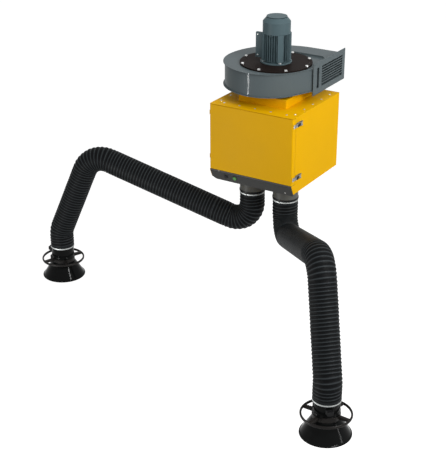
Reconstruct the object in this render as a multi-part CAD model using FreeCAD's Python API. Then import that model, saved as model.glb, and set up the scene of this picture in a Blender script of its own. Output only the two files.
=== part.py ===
import FreeCAD, Part
import math
import os

V = FreeCAD.Vector

# Wall-hung fume extractor: a filter cabinet with a centrifugal fan on its roof and two hose arms
# under it. Millimetres, X to the right, Y towards the wall, Z up. The origin lies on the wall, in
# the middle of the four anchor bolts, and the cabinet is centred on it in X and in Z.

# Cabinet and its sheet metal
CABINET_WIDTH = 600.0
CABINET_DEPTH = 625.0
CABINET_HEIGHT = 505.0
SHEET = 2.0
SEAT_FIT = 0.3
FRONT_RETURN = 22.0
ROOF_LIP = 20.0
CORNER_RADIUS = 7.0
LEDGE_WIDTH = 24.0
LEDGE_HEIGHT = 120.0

# Door, its hinges and its latches
STRIP_HEIGHT = 62.0
DOOR_DEPTH = 35.0
DOOR_GAP = 3.0
DOOR_HEIGHT = CABINET_HEIGHT - STRIP_HEIGHT - DOOR_GAP
DOOR_LIP = 18.0
GASKET_WIDTH = 12.0
HINGE_PIN_RADIUS = 4.0
HINGE_KNUCKLE_RADIUS = 7.0
HINGE_KNUCKLE_HEIGHT = 28.0
HINGE_LEAF = 3.0
HINGE_LEAF_LENGTH = 30.0
HINGE_HEAD_STEP = 1.0
HINGE_INSET = 70.0
RUNNING_FIT = 0.05
LATCH_LENGTH = 104.0
LATCH_WIDTH = 28.0
LATCH_BASE = 3.0
LATCH_LEVER_THICK = 9.0
LATCH_SETBACK = 3.0
LATCH_PIN_RADIUS = 2.5
LATCH_LUG = 3.0
UPPER_LATCH_DROP = 50.0
LOWER_LATCH_RISE = 44.5
LOWER_LATCH_DROP = CABINET_HEIGHT - STRIP_HEIGHT - LOWER_LATCH_RISE
KEEPER_LENGTH = 20.0

# Control strip under the door
STRIP_RECESS = 27.0
STRIP_LIP = 2.0
STRIP_BEND = 6.0
STRIP_DEPTH = 70.0
BUTTON_RADIUS = 13.0
BUTTON_PROUD = 9.0
BUTTON_LENGTH = 24.0
BUTTON_TRAVEL = 4.0
BEZEL_WALL = 3.5
BEZEL_PROUD = 4.0
START_X = -120.0
STOP_X = -184.0

# Filter cartridge
FILTER_HEIGHT = 260.0
FILTER_SIDE_GAP = 6.0
FILTER_FRONT_GAP = 40.0
FILTER_FRAME = 28.0
FILTER_RECESS = 14.0
FILTER_PLEATS = 12

# Wall brackets
WALL_STANDOFF = 160.0
BRACKET_SPACING = 300.0
BRACKET_WIDTH = 80.0
BRACKET_HEIGHT = 300.0
BRACKET_PLATE = 4.0
BRACKET_LIP = 22.0
ANCHOR_SPACING_Z = 220.0
ANCHOR_RADIUS = 6.5

# Riser and fan casing
RISER_SIDE = 340.0
RISER_HEIGHT = 58.0
INLET_RING_HEIGHT = 22.0
INLET_RADIUS = 125.0
INLET_RING_WALL = 8.0
CASING_HEIGHT = 150.0
CASING_PLATE = 3.0
PLATE_OVERHANG = 10.0
VOLUTE_FRONT = 277.0
VOLUTE_STEP = 71.0
TONGUE_ANGLE = 20.0
OUTLET_REACH = 260.0
STIFFENER_LENGTH = 220.0
STIFFENER_LEG = 13.0
STIFFENER_FROM_BACK = 174.0
STIFFENER_FROM_OUTLET = 50.0

# Outlet flange with its grille
FLANGE_PLATE = 5.0
FLANGE_FRONT_RIM = 40.0
FLANGE_BACK_RIM = 27.0
FLANGE_HEIGHT_RIM = 28.0
FLANGE_HOLE_RADIUS = 4.5
FLANGE_HOLE_INSET = 13.0
SLOT_WIDTH = 31.0
SLOT_INSET = 6.0
GRILLE_BAR = 34.0
GRILLE_INSET = 9.0
SLAT_COUNT = 7
SLAT_HEIGHT = 5.0
SLAT_TILT = 35.0
SLAT_DEPTH = 12.0

# Motor
MOTOR_PLATE_RADIUS = 230.0
MOTOR_PLATE_THICK = 10.0
SERVICE_HOLE_RADIUS = 196.0
PLATE_BOLT_RADIUS = 219.0
PLATE_BOLT_COUNT = 8
BOLT_RADIUS = 5.0
BOLT_HEAD_RADIUS = 9.8
BOLT_HEAD_HEIGHT = 6.5
BOLT_CLEARANCE = 0.4
MOTOR_FLANGE_RADIUS = 100.0
MOTOR_FLANGE_THICK = 14.0
MOTOR_BOLT_RADIUS = 82.5
STATOR_CORE_RADIUS = 72.0
STATOR_FIN_RADIUS = 89.0
STATOR_PAD_RADIUS = 93.0
STATOR_PAD_WIDTH = 36.0
STATOR_PAD_COUNT = 4
SHIELD_STEP = 1.0
STATOR_HEIGHT = 172.0
FIN_COUNT = 36
FIN_THICK = 3.0
COWL_RADIUS = 88.0
COWL_HEIGHT = 106.0
COWL_CHAMFER = 26.0
COWL_TOP_RADIUS = 66.0
COWL_WALL = 2.0
CAP_GAP = 3.0
CAP_THICK = 3.0
CAP_POSTS = 4
TERMINAL_BOX_REACH = 120.0
TERMINAL_BOX_FRONT = 50.0
TERMINAL_BOX_WIDTH = 14.0
TERMINAL_BOX_HEIGHT = 160.0
SHAFT_RADIUS = 12.0

# Impeller and motor cooling fan
IMPELLER_RADIUS = 183.0
IMPELLER_EYE_RADIUS = 112.0
IMPELLER_WIDTH = 92.0
IMPELLER_DROP = 18.0
IMPELLER_PLATE = 3.0
BLADE_COUNT = 10
BLADE_THICK = 3.0
BLADE_SWEEP = 38.0
HUB_RADIUS = 28.0
HUB_HEIGHT = 48.0
COOLING_FAN_RADIUS = 72.0
COOLING_FAN_HEIGHT = 24.0
COOLING_BLADES = 6

# Inlet collars and the swivels in them
COLLAR_SPACING = 250.0
COLLAR_FROM_FRONT = 249.0
COLLAR_RADIUS = 83.5
COLLAR_WALL = 2.0
COLLAR_LENGTH = 125.0
COLLAR_FLANGE_RADIUS = 103.0
COLLAR_FLANGE = 3.0
SWIVEL_RIM = 10.0
SWIVEL_RIM_RADIUS = 86.5
SWIVEL_SPIGOT = 34.0
SWIVEL_WALL = 3.0

# Hose
HOSE_RADIUS = 84.5
HOSE_BORE_RADIUS = 77.5
RIB_DEPTH = 4.5
RIB_PITCH = 75.0
CUFF_RADIUS = 82.0
CUFF_LENGTH = 30.0
BEND_RADIUS = 157.5
HOSE_SEAM = 0.3
CLAMP_WIDTH = 8.0
CLAMP_THICK = 2.2
CLAMP_FROM_END = 5.0

# Reach of an arm: shoulder below the cabinet, upper and lower stretch, hood below the wrist
SHOULDER_DROP = 397.5
UPPER_REACH = 1229.5
LOWER_REACH = 685.0
HOOD_DROP = 129.0

# Each arm as it hangs: its side, its heading in plan, rise of its upper and fall of its lower stretch
LEFT_HEADING_ANGLE = 191.9
LEFT_RISE_ANGLE = 17.5
LEFT_FALL_ANGLE = 66.7
RIGHT_HEADING_ANGLE = -51.5
RIGHT_RISE_ANGLE = 18.7
RIGHT_FALL_ANGLE = 64.5
ARMS = (
    ("left", -1.0, LEFT_HEADING_ANGLE, LEFT_RISE_ANGLE, LEFT_FALL_ANGLE),
    ("right", 1.0, RIGHT_HEADING_ANGLE, RIGHT_RISE_ANGLE, RIGHT_FALL_ANGLE),
)

# Arm skeleton inside the hose
LINK_HEIGHT = 24.0
LINK_THICK = 16.0
EYE_RADIUS = 16.0
CHEEK_THICK = 5.0
CHEEK_REACH = 46.0
WEB_START = 26.0
LINK_GAP = 0.3
PIN_RADIUS = 6.0
PIN_HEAD_RADIUS = 10.0
PIN_HEAD = 4.0
CROSS_BAR = 8.0

# Hood, its damper and its grip ring
HOOD_WALL = 2.5
HOOD_NECK_RADIUS = 79.5
HOOD_NECK_LENGTH = 104.5
HOOD_SPIGOT = 50.0
HOOD_CONE_HEIGHT = 118.0
HOOD_MOUTH_RADIUS = 147.5
HOOD_RIM = 5.0
HOOD_RIM_HEIGHT = 7.0
DAMPER_DROP = 28.0
DAMPER_GAP = 2.0
DAMPER_THICK = 2.0
SPINDLE_RADIUS = 4.0
KNOB_LENGTH = 28.0
KNOB_WIDTH = 48.0
KNOB_HEIGHT = 24.0
GRIP_RADIUS = 152.0
GRIP_WIDTH = 14.0
GRIP_HEIGHT = 14.0
GRIP_DROP = 97.0
SPOKE_COUNT = 4
SPOKE_FIRST = 45.0
SPOKE_THICK = 16.0
SPOKE_HEIGHT = 24.0
GRIP_BAND = 3.0

# Levels and planes that follow from the sizes above
back_y = -WALL_STANDOFF
front_y = back_y - CABINET_DEPTH
shell_front_y = front_y + DOOR_DEPTH + DOOR_GAP
top_z = CABINET_HEIGHT / 2
bottom_z = -CABINET_HEIGHT / 2
roof_under_z = top_z - SHEET
strip_top_z = top_z - DOOR_HEIGHT - DOOR_GAP
strip_foot_y = front_y + STRIP_RECESS
side_x = CABINET_WIDTH / 2
fan_y = back_y - CABINET_DEPTH / 2
riser_top_z = top_z + RISER_HEIGHT
casing_z = riser_top_z + INLET_RING_HEIGHT
casing_top_z = casing_z + CASING_HEIGHT
motor_plate_z = casing_top_z + MOTOR_PLATE_THICK
stator_z = motor_plate_z + MOTOR_FLANGE_THICK
cowl_z = stator_z + STATOR_HEIGHT
collar_y = front_y + COLLAR_FROM_FRONT
collar_end_z = bottom_z - COLLAR_LENGTH
hose_top_z = collar_end_z - SWIVEL_RIM


def box(x0, x1, y0, y1, z0, z1):
    return Part.makeBox(x1 - x0, y1 - y0, z1 - z0, V(x0, y0, z0))


def rod(radius, start, end):
    axis = end - start
    return Part.makeCylinder(radius, axis.Length, start, axis)


def prism(points, direction):
    face = Part.Face(Part.makePolygon(list(points) + [points[0]]))
    return face.extrude(direction)


def turned(profile, x=0.0, y=0.0):
    """Ring turned about a vertical axis from a closed outline of (radius, height) pairs."""
    points = [V(x + radius, y, height) for radius, height in profile]
    face = Part.Face(Part.makePolygon(points + [points[0]]))
    return face.revolve(V(x, y, 0), V(0, 0, 1), 360)


def joined(shapes):
    return shapes[0].multiFuse(shapes[1:]).removeSplitter()


def save(node, *solids):
    shape = solids[0] if len(solids) == 1 else Part.makeCompound(list(solids))
    shape.exportStep("parts/" + node + ".step")


def around(shape, count, first, x, y):
    """Copies of a shape spread evenly about a vertical axis."""
    copies = []
    for index in range(count):
        copy = shape.copy()
        copy.rotate(V(x, y, 0), V(0, 0, 1), first + index * 360.0 / count)
        copies.append(copy)
    return copies


# Strip profile: upright lip, rounded bend, then a slope back to the foot
def strip_front():
    corner = V(0, front_y, strip_top_z - STRIP_LIP - STRIP_BEND)
    foot = V(0, strip_foot_y, bottom_z)
    slope = (foot - corner).normalize()
    turn = V(0, 0, -1).getAngle(slope)
    reach = STRIP_BEND * math.tan(turn / 2)
    bend_start = corner + V(0, 0, reach)
    bend_end = corner + slope * reach
    inward = (slope + V(0, 0, 1)).normalize()
    bend_middle = corner + inward * (STRIP_BEND / math.cos(turn / 2) - STRIP_BEND)
    return bend_start, bend_middle, bend_end, foot, slope


def strip_outline(x, back):
    """Closed outline in a plane of constant X, from the slope of the strip back to a given depth."""
    start, middle, end, foot, _ = strip_front()
    lip = V(0, front_y, strip_top_z)
    rear_foot = V(0, back, bottom_z)
    rear_top = V(0, back, strip_top_z)
    edges = [
        Part.LineSegment(lip, start).toShape(),
        Part.Arc(start, middle, end).toShape(),
        Part.LineSegment(end, foot).toShape(),
        Part.LineSegment(foot, rear_foot).toShape(),
        Part.LineSegment(rear_foot, rear_top).toShape(),
        Part.LineSegment(rear_top, lip).toShape(),
    ]
    wire = Part.Wire(edges)
    wire.translate(V(x, 0, 0))
    return wire


def cabinet_shell():
    """Folded sheet: back and two sides, whose lower front tips close the ends of the strip."""
    pieces = [box(-side_x, side_x, back_y - SHEET, back_y, bottom_z, roof_under_z)]
    for side in (-1, 1):
        outer = side * side_x
        inner = side * (side_x - SHEET)
        x0, x1 = min(outer, inner), max(outer, inner)
        pieces.append(box(x0, x1, shell_front_y, back_y, strip_top_z, roof_under_z))
        tip = Part.Face(strip_outline(x0, back_y))
        pieces.append(tip.extrude(V(SHEET, 0, 0)))
        edge = side * (side_x - FRONT_RETURN)
        pieces.append(box(min(edge, outer), max(edge, outer), shell_front_y, shell_front_y + SHEET,
                          strip_top_z, roof_under_z - ROOF_LIP - SEAT_FIT))
        ledge = side * (side_x - SHEET - LEDGE_WIDTH)
        pieces.append(box(min(ledge, inner), max(ledge, inner), shell_front_y + FILTER_FRONT_GAP,
                          back_y - SHEET, bottom_z + LEDGE_HEIGHT - SHEET, bottom_z + LEDGE_HEIGHT))
    for height in hinge_heights():
        pieces.append(hinge_half(height, 1))
    return joined(pieces)


def hinge_heights():
    door_top = roof_under_z - DOOR_GAP
    door_bottom = strip_top_z + DOOR_GAP
    return door_bottom + HINGE_INSET, door_top - HINGE_INSET


hinge_x = -side_x - HINGE_KNUCKLE_RADIUS - 2 * SEAT_FIT
hinge_y = shell_front_y - DOOR_GAP / 2


def hinge_half(height, side):
    """Knuckle and leaf: side 1 is the lower half on the shell, side -1 the upper half on the door."""
    z0 = height - HINGE_KNUCKLE_HEIGHT if side > 0 else height + SEAT_FIT
    z1 = z0 + HINGE_KNUCKLE_HEIGHT
    leaf_end = hinge_y + side * (HINGE_LEAF_LENGTH + DOOR_GAP)
    leaf = box(-side_x - HINGE_LEAF, -side_x, min(hinge_y, leaf_end), max(hinge_y, leaf_end), z0, z1)
    knuckle = rod(HINGE_KNUCKLE_RADIUS, V(hinge_x, hinge_y, z0), V(hinge_x, hinge_y, z1))
    gap = side * DOOR_GAP / 2
    clear = box(-side_x - 2 * SEAT_FIT, -side_x, min(hinge_y, hinge_y + gap),
                max(hinge_y, hinge_y + gap), z0, z1)
    bore = rod(HINGE_PIN_RADIUS + RUNNING_FIT, V(hinge_x, hinge_y, z0), V(hinge_x, hinge_y, z1))
    return leaf.cut(clear).fuse(knuckle).cut(bore)


def hinge_pin(height):
    foot = V(hinge_x, hinge_y, height - HINGE_KNUCKLE_HEIGHT)
    neck = V(hinge_x, hinge_y, height + HINGE_KNUCKLE_HEIGHT + 2 * SEAT_FIT)
    head = rod(HINGE_KNUCKLE_RADIUS - HINGE_HEAD_STEP, neck, neck + V(0, 0, HINGE_LEAF))
    return rod(HINGE_PIN_RADIUS, foot, neck + V(0, 0, HINGE_LEAF)).fuse(head)


def top_panel():
    """Roof sheet that reaches forward over the door, with lips inside the shell and a round port."""
    roof = box(-side_x, side_x, front_y, back_y, roof_under_z, top_z)
    corners = [edge for edge in roof.Edges
               if abs(edge.CenterOfMass.y - front_y) < SHEET and abs(edge.CenterOfMass.x) > side_x / 2
               and abs(edge.Length - SHEET) < SHEET / 2]
    roof = roof.makeFillet(CORNER_RADIUS, corners)
    inner = side_x - SHEET - SEAT_FIT
    pieces = [roof]
    for side in (-1, 1):
        x0, x1 = sorted((side * inner, side * (inner - SHEET)))
        pieces.append(box(x0, x1, shell_front_y + SHEET + SEAT_FIT, back_y - SHEET - SEAT_FIT,
                          roof_under_z - ROOF_LIP, roof_under_z))
    pieces.append(box(-inner, inner, shell_front_y, shell_front_y + SHEET,
                      roof_under_z - ROOF_LIP, roof_under_z))
    port = rod(INLET_RADIUS, V(0, fan_y, roof_under_z), V(0, fan_y, top_z))
    return joined(pieces).cut(port)


def bottom_panel():
    """Floor sheet between the sides, from the back to the strip, with a port over each collar."""
    inner = side_x - SHEET - SEAT_FIT
    floor = box(-inner, inner, strip_foot_y + STRIP_DEPTH - STRIP_RECESS + SEAT_FIT,
                back_y - SHEET - SEAT_FIT, bottom_z, bottom_z + SHEET)
    for side in (-1, 1):
        centre = V(side * COLLAR_SPACING / 2, collar_y, bottom_z)
        floor = floor.cut(rod(COLLAR_RADIUS - COLLAR_WALL, centre, centre + V(0, 0, SHEET)))
    return floor


def strip_frame():
    """Middle of the sloping face and its outward direction."""
    _, _, end, foot, slope = strip_front()
    outward = V(0, slope.z, -slope.y)
    return (end + foot) / 2, outward


def control_strip():
    """Box-section strip with a bezel round each button."""
    inner = side_x - SHEET - SEAT_FIT
    outline = strip_outline(-inner, front_y + STRIP_DEPTH)
    hollow = outline.makeOffset2D(-SHEET)
    strip = Part.Face(outline).cut(Part.Face(hollow)).extrude(V(2 * inner, 0, 0))
    middle, outward = strip_frame()
    for x in (START_X, STOP_X):
        centre = middle + V(x, 0, 0)
        bezel = rod(BUTTON_RADIUS + BEZEL_WALL, centre - outward * SHEET, centre + outward * BEZEL_PROUD)
        strip = strip.fuse(bezel)
        strip = strip.cut(rod(BUTTON_RADIUS + SEAT_FIT, centre - outward * 2 * SHEET,
                              centre + outward * BEZEL_PROUD))
    return strip


def button(x):
    """Push button with a chamfered crown and a stem behind the face of the strip."""
    middle, outward = strip_frame()
    centre = middle + V(x, 0, 0)
    crown = centre + outward * BUTTON_PROUD
    cap = rod(BUTTON_RADIUS, crown - outward * BUTTON_LENGTH, crown)
    rim = [edge for edge in cap.Edges if edge.CenterOfMass.distanceToPoint(crown) < SEAT_FIT]
    return cap.makeChamfer(BUTTON_RADIUS / 8, rim)


def door():
    """Deep folded pan with rounded front corners, a lip all round, hinge halves and latch keepers."""
    z0 = strip_top_z + DOOR_GAP
    z1 = roof_under_z - DOOR_GAP
    back = front_y + DOOR_DEPTH
    pan = box(-side_x, side_x, front_y, back, z0, z1)
    corners = [edge for edge in pan.Edges
               if abs(edge.CenterOfMass.y - front_y) < SHEET and abs(edge.Length - (z1 - z0)) < SHEET]
    pan = pan.makeFillet(CORNER_RADIUS, corners)
    hollow = box(-side_x + SHEET, side_x - SHEET, front_y + SHEET, back - SHEET, z0 + SHEET, z1 - SHEET)
    inner_corners = [edge for edge in hollow.Edges
                     if abs(edge.CenterOfMass.y - front_y) < 2 * SHEET
                     and abs(edge.Length - (z1 - z0 - 2 * SHEET)) < SHEET]
    hollow = hollow.makeFillet(CORNER_RADIUS - SHEET, inner_corners)
    mouth = box(-side_x + DOOR_LIP, side_x - DOOR_LIP, back - SHEET, back, z0 + DOOR_LIP, z1 - DOOR_LIP)
    pan = pan.cut(hollow).cut(mouth)
    halves = [hinge_half(height, -1) for height in hinge_heights()]
    keepers = []
    for height in latch_heights():
        keepers.append(box(side_x, side_x + LATCH_BASE, front_y + LATCH_SETBACK - SHEET,
                           front_y + LATCH_SETBACK - SHEET + KEEPER_LENGTH,
                           height - LATCH_WIDTH / 2, height + LATCH_WIDTH / 2))
    return joined([pan] + halves + keepers)


def door_gasket():
    """Flat sealing frame on the lip of the door, facing the folded edge of the shell."""
    y0 = front_y + DOOR_DEPTH
    y1 = shell_front_y - SEAT_FIT
    z0 = strip_top_z + 2 * DOOR_GAP
    z1 = roof_under_z - 2 * DOOR_GAP
    edge = side_x - DOOR_GAP
    frame = box(-edge, edge, y0, y1, z0, z1)
    hole = box(-edge + GASKET_WIDTH, edge - GASKET_WIDTH, y0, y1, z0 + GASKET_WIDTH, z1 - GASKET_WIDTH)
    return frame.cut(hole)


def latch_heights():
    return top_z - LOWER_LATCH_DROP, top_z - UPPER_LATCH_DROP


latch_pivot_x = side_x + LATCH_BASE + SEAT_FIT + LATCH_LEVER_THICK / 2
latch_pivot_y = front_y + LATCH_SETBACK + LATCH_LENGTH - LATCH_LEVER_THICK


def latch_base(height):
    """Plate on the side of the shell with two lugs that carry the pin of the lever."""
    y0 = shell_front_y + DOOR_GAP
    y1 = front_y + LATCH_SETBACK + LATCH_LENGTH
    half = LATCH_WIDTH / 2
    plate = box(side_x, side_x + LATCH_BASE, y0, y1, height - half, height + half)
    pieces = [plate]
    for side in (-1, 1):
        z0, z1 = sorted((height + side * half, height + side * (half - LATCH_LUG)))
        pieces.append(box(side_x, latch_pivot_x + LATCH_LEVER_THICK / 2, latch_pivot_y - LATCH_LEVER_THICK,
                          y1, z0, z1))
    bore = rod(LATCH_PIN_RADIUS + RUNNING_FIT, V(latch_pivot_x, latch_pivot_y, height - half),
               V(latch_pivot_x, latch_pivot_y, height + half))
    return joined(pieces).cut(bore)


def latch_lever(height):
    """Lever with a raised grip in the middle, a thin nose over the keeper and its own pin."""
    half = LATCH_WIDTH / 2
    reach = half - LATCH_LUG - SEAT_FIT
    inner = side_x + LATCH_BASE + SEAT_FIT
    nose_y = front_y + LATCH_SETBACK
    grip_start = nose_y + LATCH_LENGTH * 0.42
    grip_end = nose_y + LATCH_LENGTH * 0.74
    outline = [
        V(inner, nose_y, 0),
        V(inner + LATCH_LEVER_THICK / 3, nose_y, 0),
        V(inner + LATCH_LEVER_THICK / 2, grip_start - LATCH_LEVER_THICK, 0),
        V(inner + LATCH_LEVER_THICK, grip_start, 0),
        V(inner + LATCH_LEVER_THICK, grip_end, 0),
        V(inner + LATCH_LEVER_THICK * 0.8, latch_pivot_y, 0),
        V(inner, latch_pivot_y, 0),
    ]
    bar = prism(outline, V(0, 0, 2 * reach))
    bar.translate(V(0, 0, height - reach))
    centre = V(latch_pivot_x, latch_pivot_y, height)
    boss = rod(LATCH_LEVER_THICK / 2, centre - V(0, 0, reach), centre + V(0, 0, reach))
    pin = rod(LATCH_PIN_RADIUS, centre - V(0, 0, half), centre + V(0, 0, half))
    return joined([bar, boss, pin])


def filter_cartridge():
    """Framed pleated cartridge that slides in on the two ledges."""
    x1 = side_x - SHEET - FILTER_SIDE_GAP
    y0 = shell_front_y + FILTER_FRONT_GAP
    y1 = back_y - SHEET - FILTER_SIDE_GAP
    z0 = bottom_z + LEDGE_HEIGHT
    z1 = z0 + FILTER_HEIGHT
    body = box(-x1, x1, y0, y1, z0, z1)
    body = body.cut(box(-x1 + FILTER_FRAME, x1 - FILTER_FRAME, y0, y0 + FILTER_RECESS,
                        z0 + FILTER_FRAME, z1 - FILTER_FRAME))
    step = 2 * (x1 - FILTER_FRAME) / FILTER_PLEATS
    pleats = []
    for index in range(FILTER_PLEATS):
        left = -x1 + FILTER_FRAME + index * step
        pleats.append(prism([V(left, y0 + FILTER_RECESS, z0 + FILTER_FRAME),
                             V(left + step / 2, y0 + FILTER_RECESS / 3, z0 + FILTER_FRAME),
                             V(left + step, y0 + FILTER_RECESS, z0 + FILTER_FRAME)],
                            V(0, 0, FILTER_HEIGHT - 2 * FILTER_FRAME)))
    return joined([body] + pleats)


def wall_bracket(side):
    """Lipped channel that holds the cabinet off the wall, with two anchor holes in its web."""
    centre = side * BRACKET_SPACING / 2
    x0, x1 = centre - BRACKET_WIDTH / 2, centre + BRACKET_WIDTH / 2
    half = BRACKET_HEIGHT / 2
    outer = box(x0, x1, back_y, 0, -half, half)
    inner = box(x0 + BRACKET_PLATE, x1 - BRACKET_PLATE, back_y + BRACKET_PLATE, -BRACKET_PLATE, -half, half)
    mouth = box(x0 + BRACKET_LIP, x1 - BRACKET_LIP, back_y, back_y + BRACKET_PLATE, -half, half)
    channel = outer.cut(inner).cut(mouth)
    for z in (-ANCHOR_SPACING_Z / 2, ANCHOR_SPACING_Z / 2):
        channel = channel.cut(rod(ANCHOR_RADIUS, V(centre, -BRACKET_PLATE, z), V(centre, 0, z)))
    return channel


def riser():
    """Square plenum between the roof and the fan, open below, with the fan port in its top."""
    half = RISER_SIDE / 2
    outer = box(-half, half, fan_y - half, fan_y + half, top_z, riser_top_z)
    inner = box(-half + SHEET, half - SHEET, fan_y - half + SHEET, fan_y + half - SHEET,
                top_z, riser_top_z - SHEET)
    port = rod(INLET_RADIUS, V(0, fan_y, riser_top_z - SHEET), V(0, fan_y, riser_top_z))
    return outer.cut(inner).cut(port)


# Volute: four-centre scroll whose arcs grow by one step each quarter turn, clockwise from above
def volute(grow, outlet_x):
    half = VOLUTE_STEP / 2
    first = VOLUTE_FRONT - half
    base_tongue = -half + first * math.sin(math.radians(TONGUE_ANGLE))
    radius = [first + grow, first + VOLUTE_STEP + grow, first + 2 * VOLUTE_STEP + grow]
    tongue_y = base_tongue - grow
    tongue_angle = math.asin((tongue_y + half) / radius[0])
    centres = [V(-half, -half, 0), V(-half, half, 0), V(half, half, 0)]
    starts = [tongue_angle, -math.pi / 2, -math.pi]
    ends = [-math.pi / 2, -math.pi, -1.5 * math.pi]

    def at(index, angle):
        return centres[index] + V(math.cos(angle), math.sin(angle), 0) * radius[index]

    edges = [Part.LineSegment(V(outlet_x, tongue_y, 0), at(0, starts[0])).toShape()]
    for index in range(3):
        middle = (starts[index] + ends[index]) / 2
        edges.append(Part.Arc(at(index, starts[index]), at(index, middle), at(index, ends[index])).toShape())
    back = half + radius[2]
    edges.append(Part.LineSegment(at(2, ends[2]), V(outlet_x, back, 0)).toShape())
    edges.append(Part.LineSegment(V(outlet_x, back, 0), V(outlet_x, tongue_y, 0)).toShape())
    wire = Part.Wire(edges)
    wire.translate(V(0, fan_y, 0))
    return wire, tongue_y + fan_y, back + fan_y


def volute_slab(grow, outlet_x, z0, z1):
    wire, _, _ = volute(grow, outlet_x)
    wire.translate(V(0, 0, z0))
    return Part.Face(wire).extrude(V(0, 0, z1 - z0))


def fan_scroll():
    """Welded lower half of the fan casing: wrapper, bottom plate, inlet ring and inlet nozzle."""
    z0 = casing_z + CASING_PLATE
    z1 = casing_top_z - CASING_PLATE
    wrapper = volute_slab(0, OUTLET_REACH, z0, z1)
    wrapper = wrapper.cut(volute_slab(-CASING_PLATE, OUTLET_REACH + CASING_PLATE, z0, z1))
    plate = volute_slab(PLATE_OVERHANG, OUTLET_REACH, casing_z, z0)
    axis = V(0, fan_y, 0)
    plate = plate.cut(rod(INLET_RADIUS, axis + V(0, 0, casing_z), axis + V(0, 0, z0)))
    ring = turned([(INLET_RADIUS, riser_top_z), (INLET_RADIUS + INLET_RING_WALL, riser_top_z),
                   (INLET_RADIUS + INLET_RING_WALL, casing_z), (INLET_RADIUS, casing_z)], 0, fan_y)
    nozzle_z = casing_top_z - CASING_PLATE - IMPELLER_DROP - IMPELLER_WIDTH - IMPELLER_PLATE
    throat = IMPELLER_EYE_RADIUS
    nozzle = turned([(INLET_RADIUS, casing_z), (INLET_RADIUS + CASING_PLATE, casing_z),
                     (throat + CASING_PLATE, nozzle_z), (throat, nozzle_z)], 0, fan_y)
    return joined([wrapper, plate, ring, nozzle])


def fan_top_plate():
    """Top plate of the casing with the service hole and an angle that stiffens its open side."""
    z0 = casing_top_z - CASING_PLATE
    axis = V(0, fan_y, 0)
    plate = volute_slab(PLATE_OVERHANG, OUTLET_REACH, z0, casing_top_z)
    plate = plate.cut(rod(SERVICE_HOLE_RADIUS, axis + V(0, 0, z0), axis + V(0, 0, casing_top_z)))
    _, _, back = volute(0, OUTLET_REACH)
    y0 = back - STIFFENER_FROM_BACK
    x1 = OUTLET_REACH - STIFFENER_FROM_OUTLET
    x0 = x1 - STIFFENER_LENGTH
    leg = box(x0, x1, y0, y0 + CASING_PLATE, casing_top_z, casing_top_z + STIFFENER_LEG)
    foot = box(x0, x1, y0, y0 + STIFFENER_LEG, casing_top_z, casing_top_z + CASING_PLATE)
    hole = rod(BOLT_RADIUS + BOLT_CLEARANCE, V(PLATE_BOLT_RADIUS, fan_y, z0),
               V(PLATE_BOLT_RADIUS, fan_y, casing_top_z))
    holes = around(hole, PLATE_BOLT_COUNT, 0, 0, fan_y)
    return joined([plate, leg, foot]).cut(holes)


def outlet_grille():
    """Bolted outlet plate with an open slot, and slats across its larger window."""
    x0, x1 = OUTLET_REACH, OUTLET_REACH + FLANGE_PLATE
    _, front, back = volute(0, OUTLET_REACH)
    y0, y1 = front - FLANGE_FRONT_RIM, back + FLANGE_BACK_RIM
    z0, z1 = casing_z - FLANGE_HEIGHT_RIM, casing_top_z + FLANGE_HEIGHT_RIM
    plate = box(x0, x1, y0, y1, z0, z1)
    slot_y = front + SLOT_INSET
    low, high = casing_z + GRILLE_INSET, casing_top_z - GRILLE_INSET
    plate = plate.cut(box(x0, x1, slot_y, slot_y + SLOT_WIDTH, low, high))
    window_y0 = slot_y + SLOT_WIDTH + GRILLE_BAR
    window_y1 = back - GRILLE_INSET
    plate = plate.cut(box(x0, x1, window_y0, window_y1, low, high))
    pitch = (high - low) / (SLAT_COUNT + 1)
    slats = []
    for index in range(SLAT_COUNT):
        z = low + (index + 1) * pitch
        slat = box(-SLAT_DEPTH, 0, window_y0 - SHEET, window_y1 + SHEET, 0, SHEET)
        slat.rotate(V(0, 0, 0), V(0, 1, 0), -SLAT_TILT)
        slat.translate(V(x1 - SHEET / 2, 0, z + SLAT_HEIGHT / 2))
        lip = box(x1 - SHEET, x1, window_y0 - SHEET, window_y1 + SHEET, z, z + SLAT_HEIGHT)
        slats += [slat, lip]
    plate = joined([plate] + slats)
    inset = FLANGE_HOLE_INSET
    for y in (y0 + inset, (y0 + y1) / 2, y1 - inset):
        for z in (z0 + inset, z1 - inset):
            plate = plate.cut(rod(FLANGE_HOLE_RADIUS, V(x0, y, z), V(x1, y, z)))
    return plate


def motor_plate():
    """Round plate that closes the service hole and carries the motor."""
    axis = V(0, fan_y, 0)
    z0, z1 = casing_top_z, motor_plate_z
    plate = rod(MOTOR_PLATE_RADIUS, axis + V(0, 0, z0), axis + V(0, 0, z1))
    _, _, back = volute(0, OUTLET_REACH)
    relief = box(-MOTOR_PLATE_RADIUS, MOTOR_PLATE_RADIUS, back - STIFFENER_FROM_BACK - SHEET, back, z0, z1)
    plate = plate.cut(relief)
    plate = plate.cut(rod(SHAFT_RADIUS + FLANGE_PLATE, axis + V(0, 0, z0), axis + V(0, 0, z1)))
    rim_hole = rod(BOLT_RADIUS + BOLT_CLEARANCE, V(PLATE_BOLT_RADIUS, fan_y, z0),
                   V(PLATE_BOLT_RADIUS, fan_y, z1))
    motor_hole = rod(BOLT_RADIUS + BOLT_CLEARANCE, V(MOTOR_BOLT_RADIUS, fan_y, z0),
                     V(MOTOR_BOLT_RADIUS, fan_y, z1))
    plate = plate.cut(around(rim_hole, PLATE_BOLT_COUNT, 0, 0, fan_y))
    return plate.cut(around(motor_hole, 4, 45, 0, fan_y))


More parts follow.
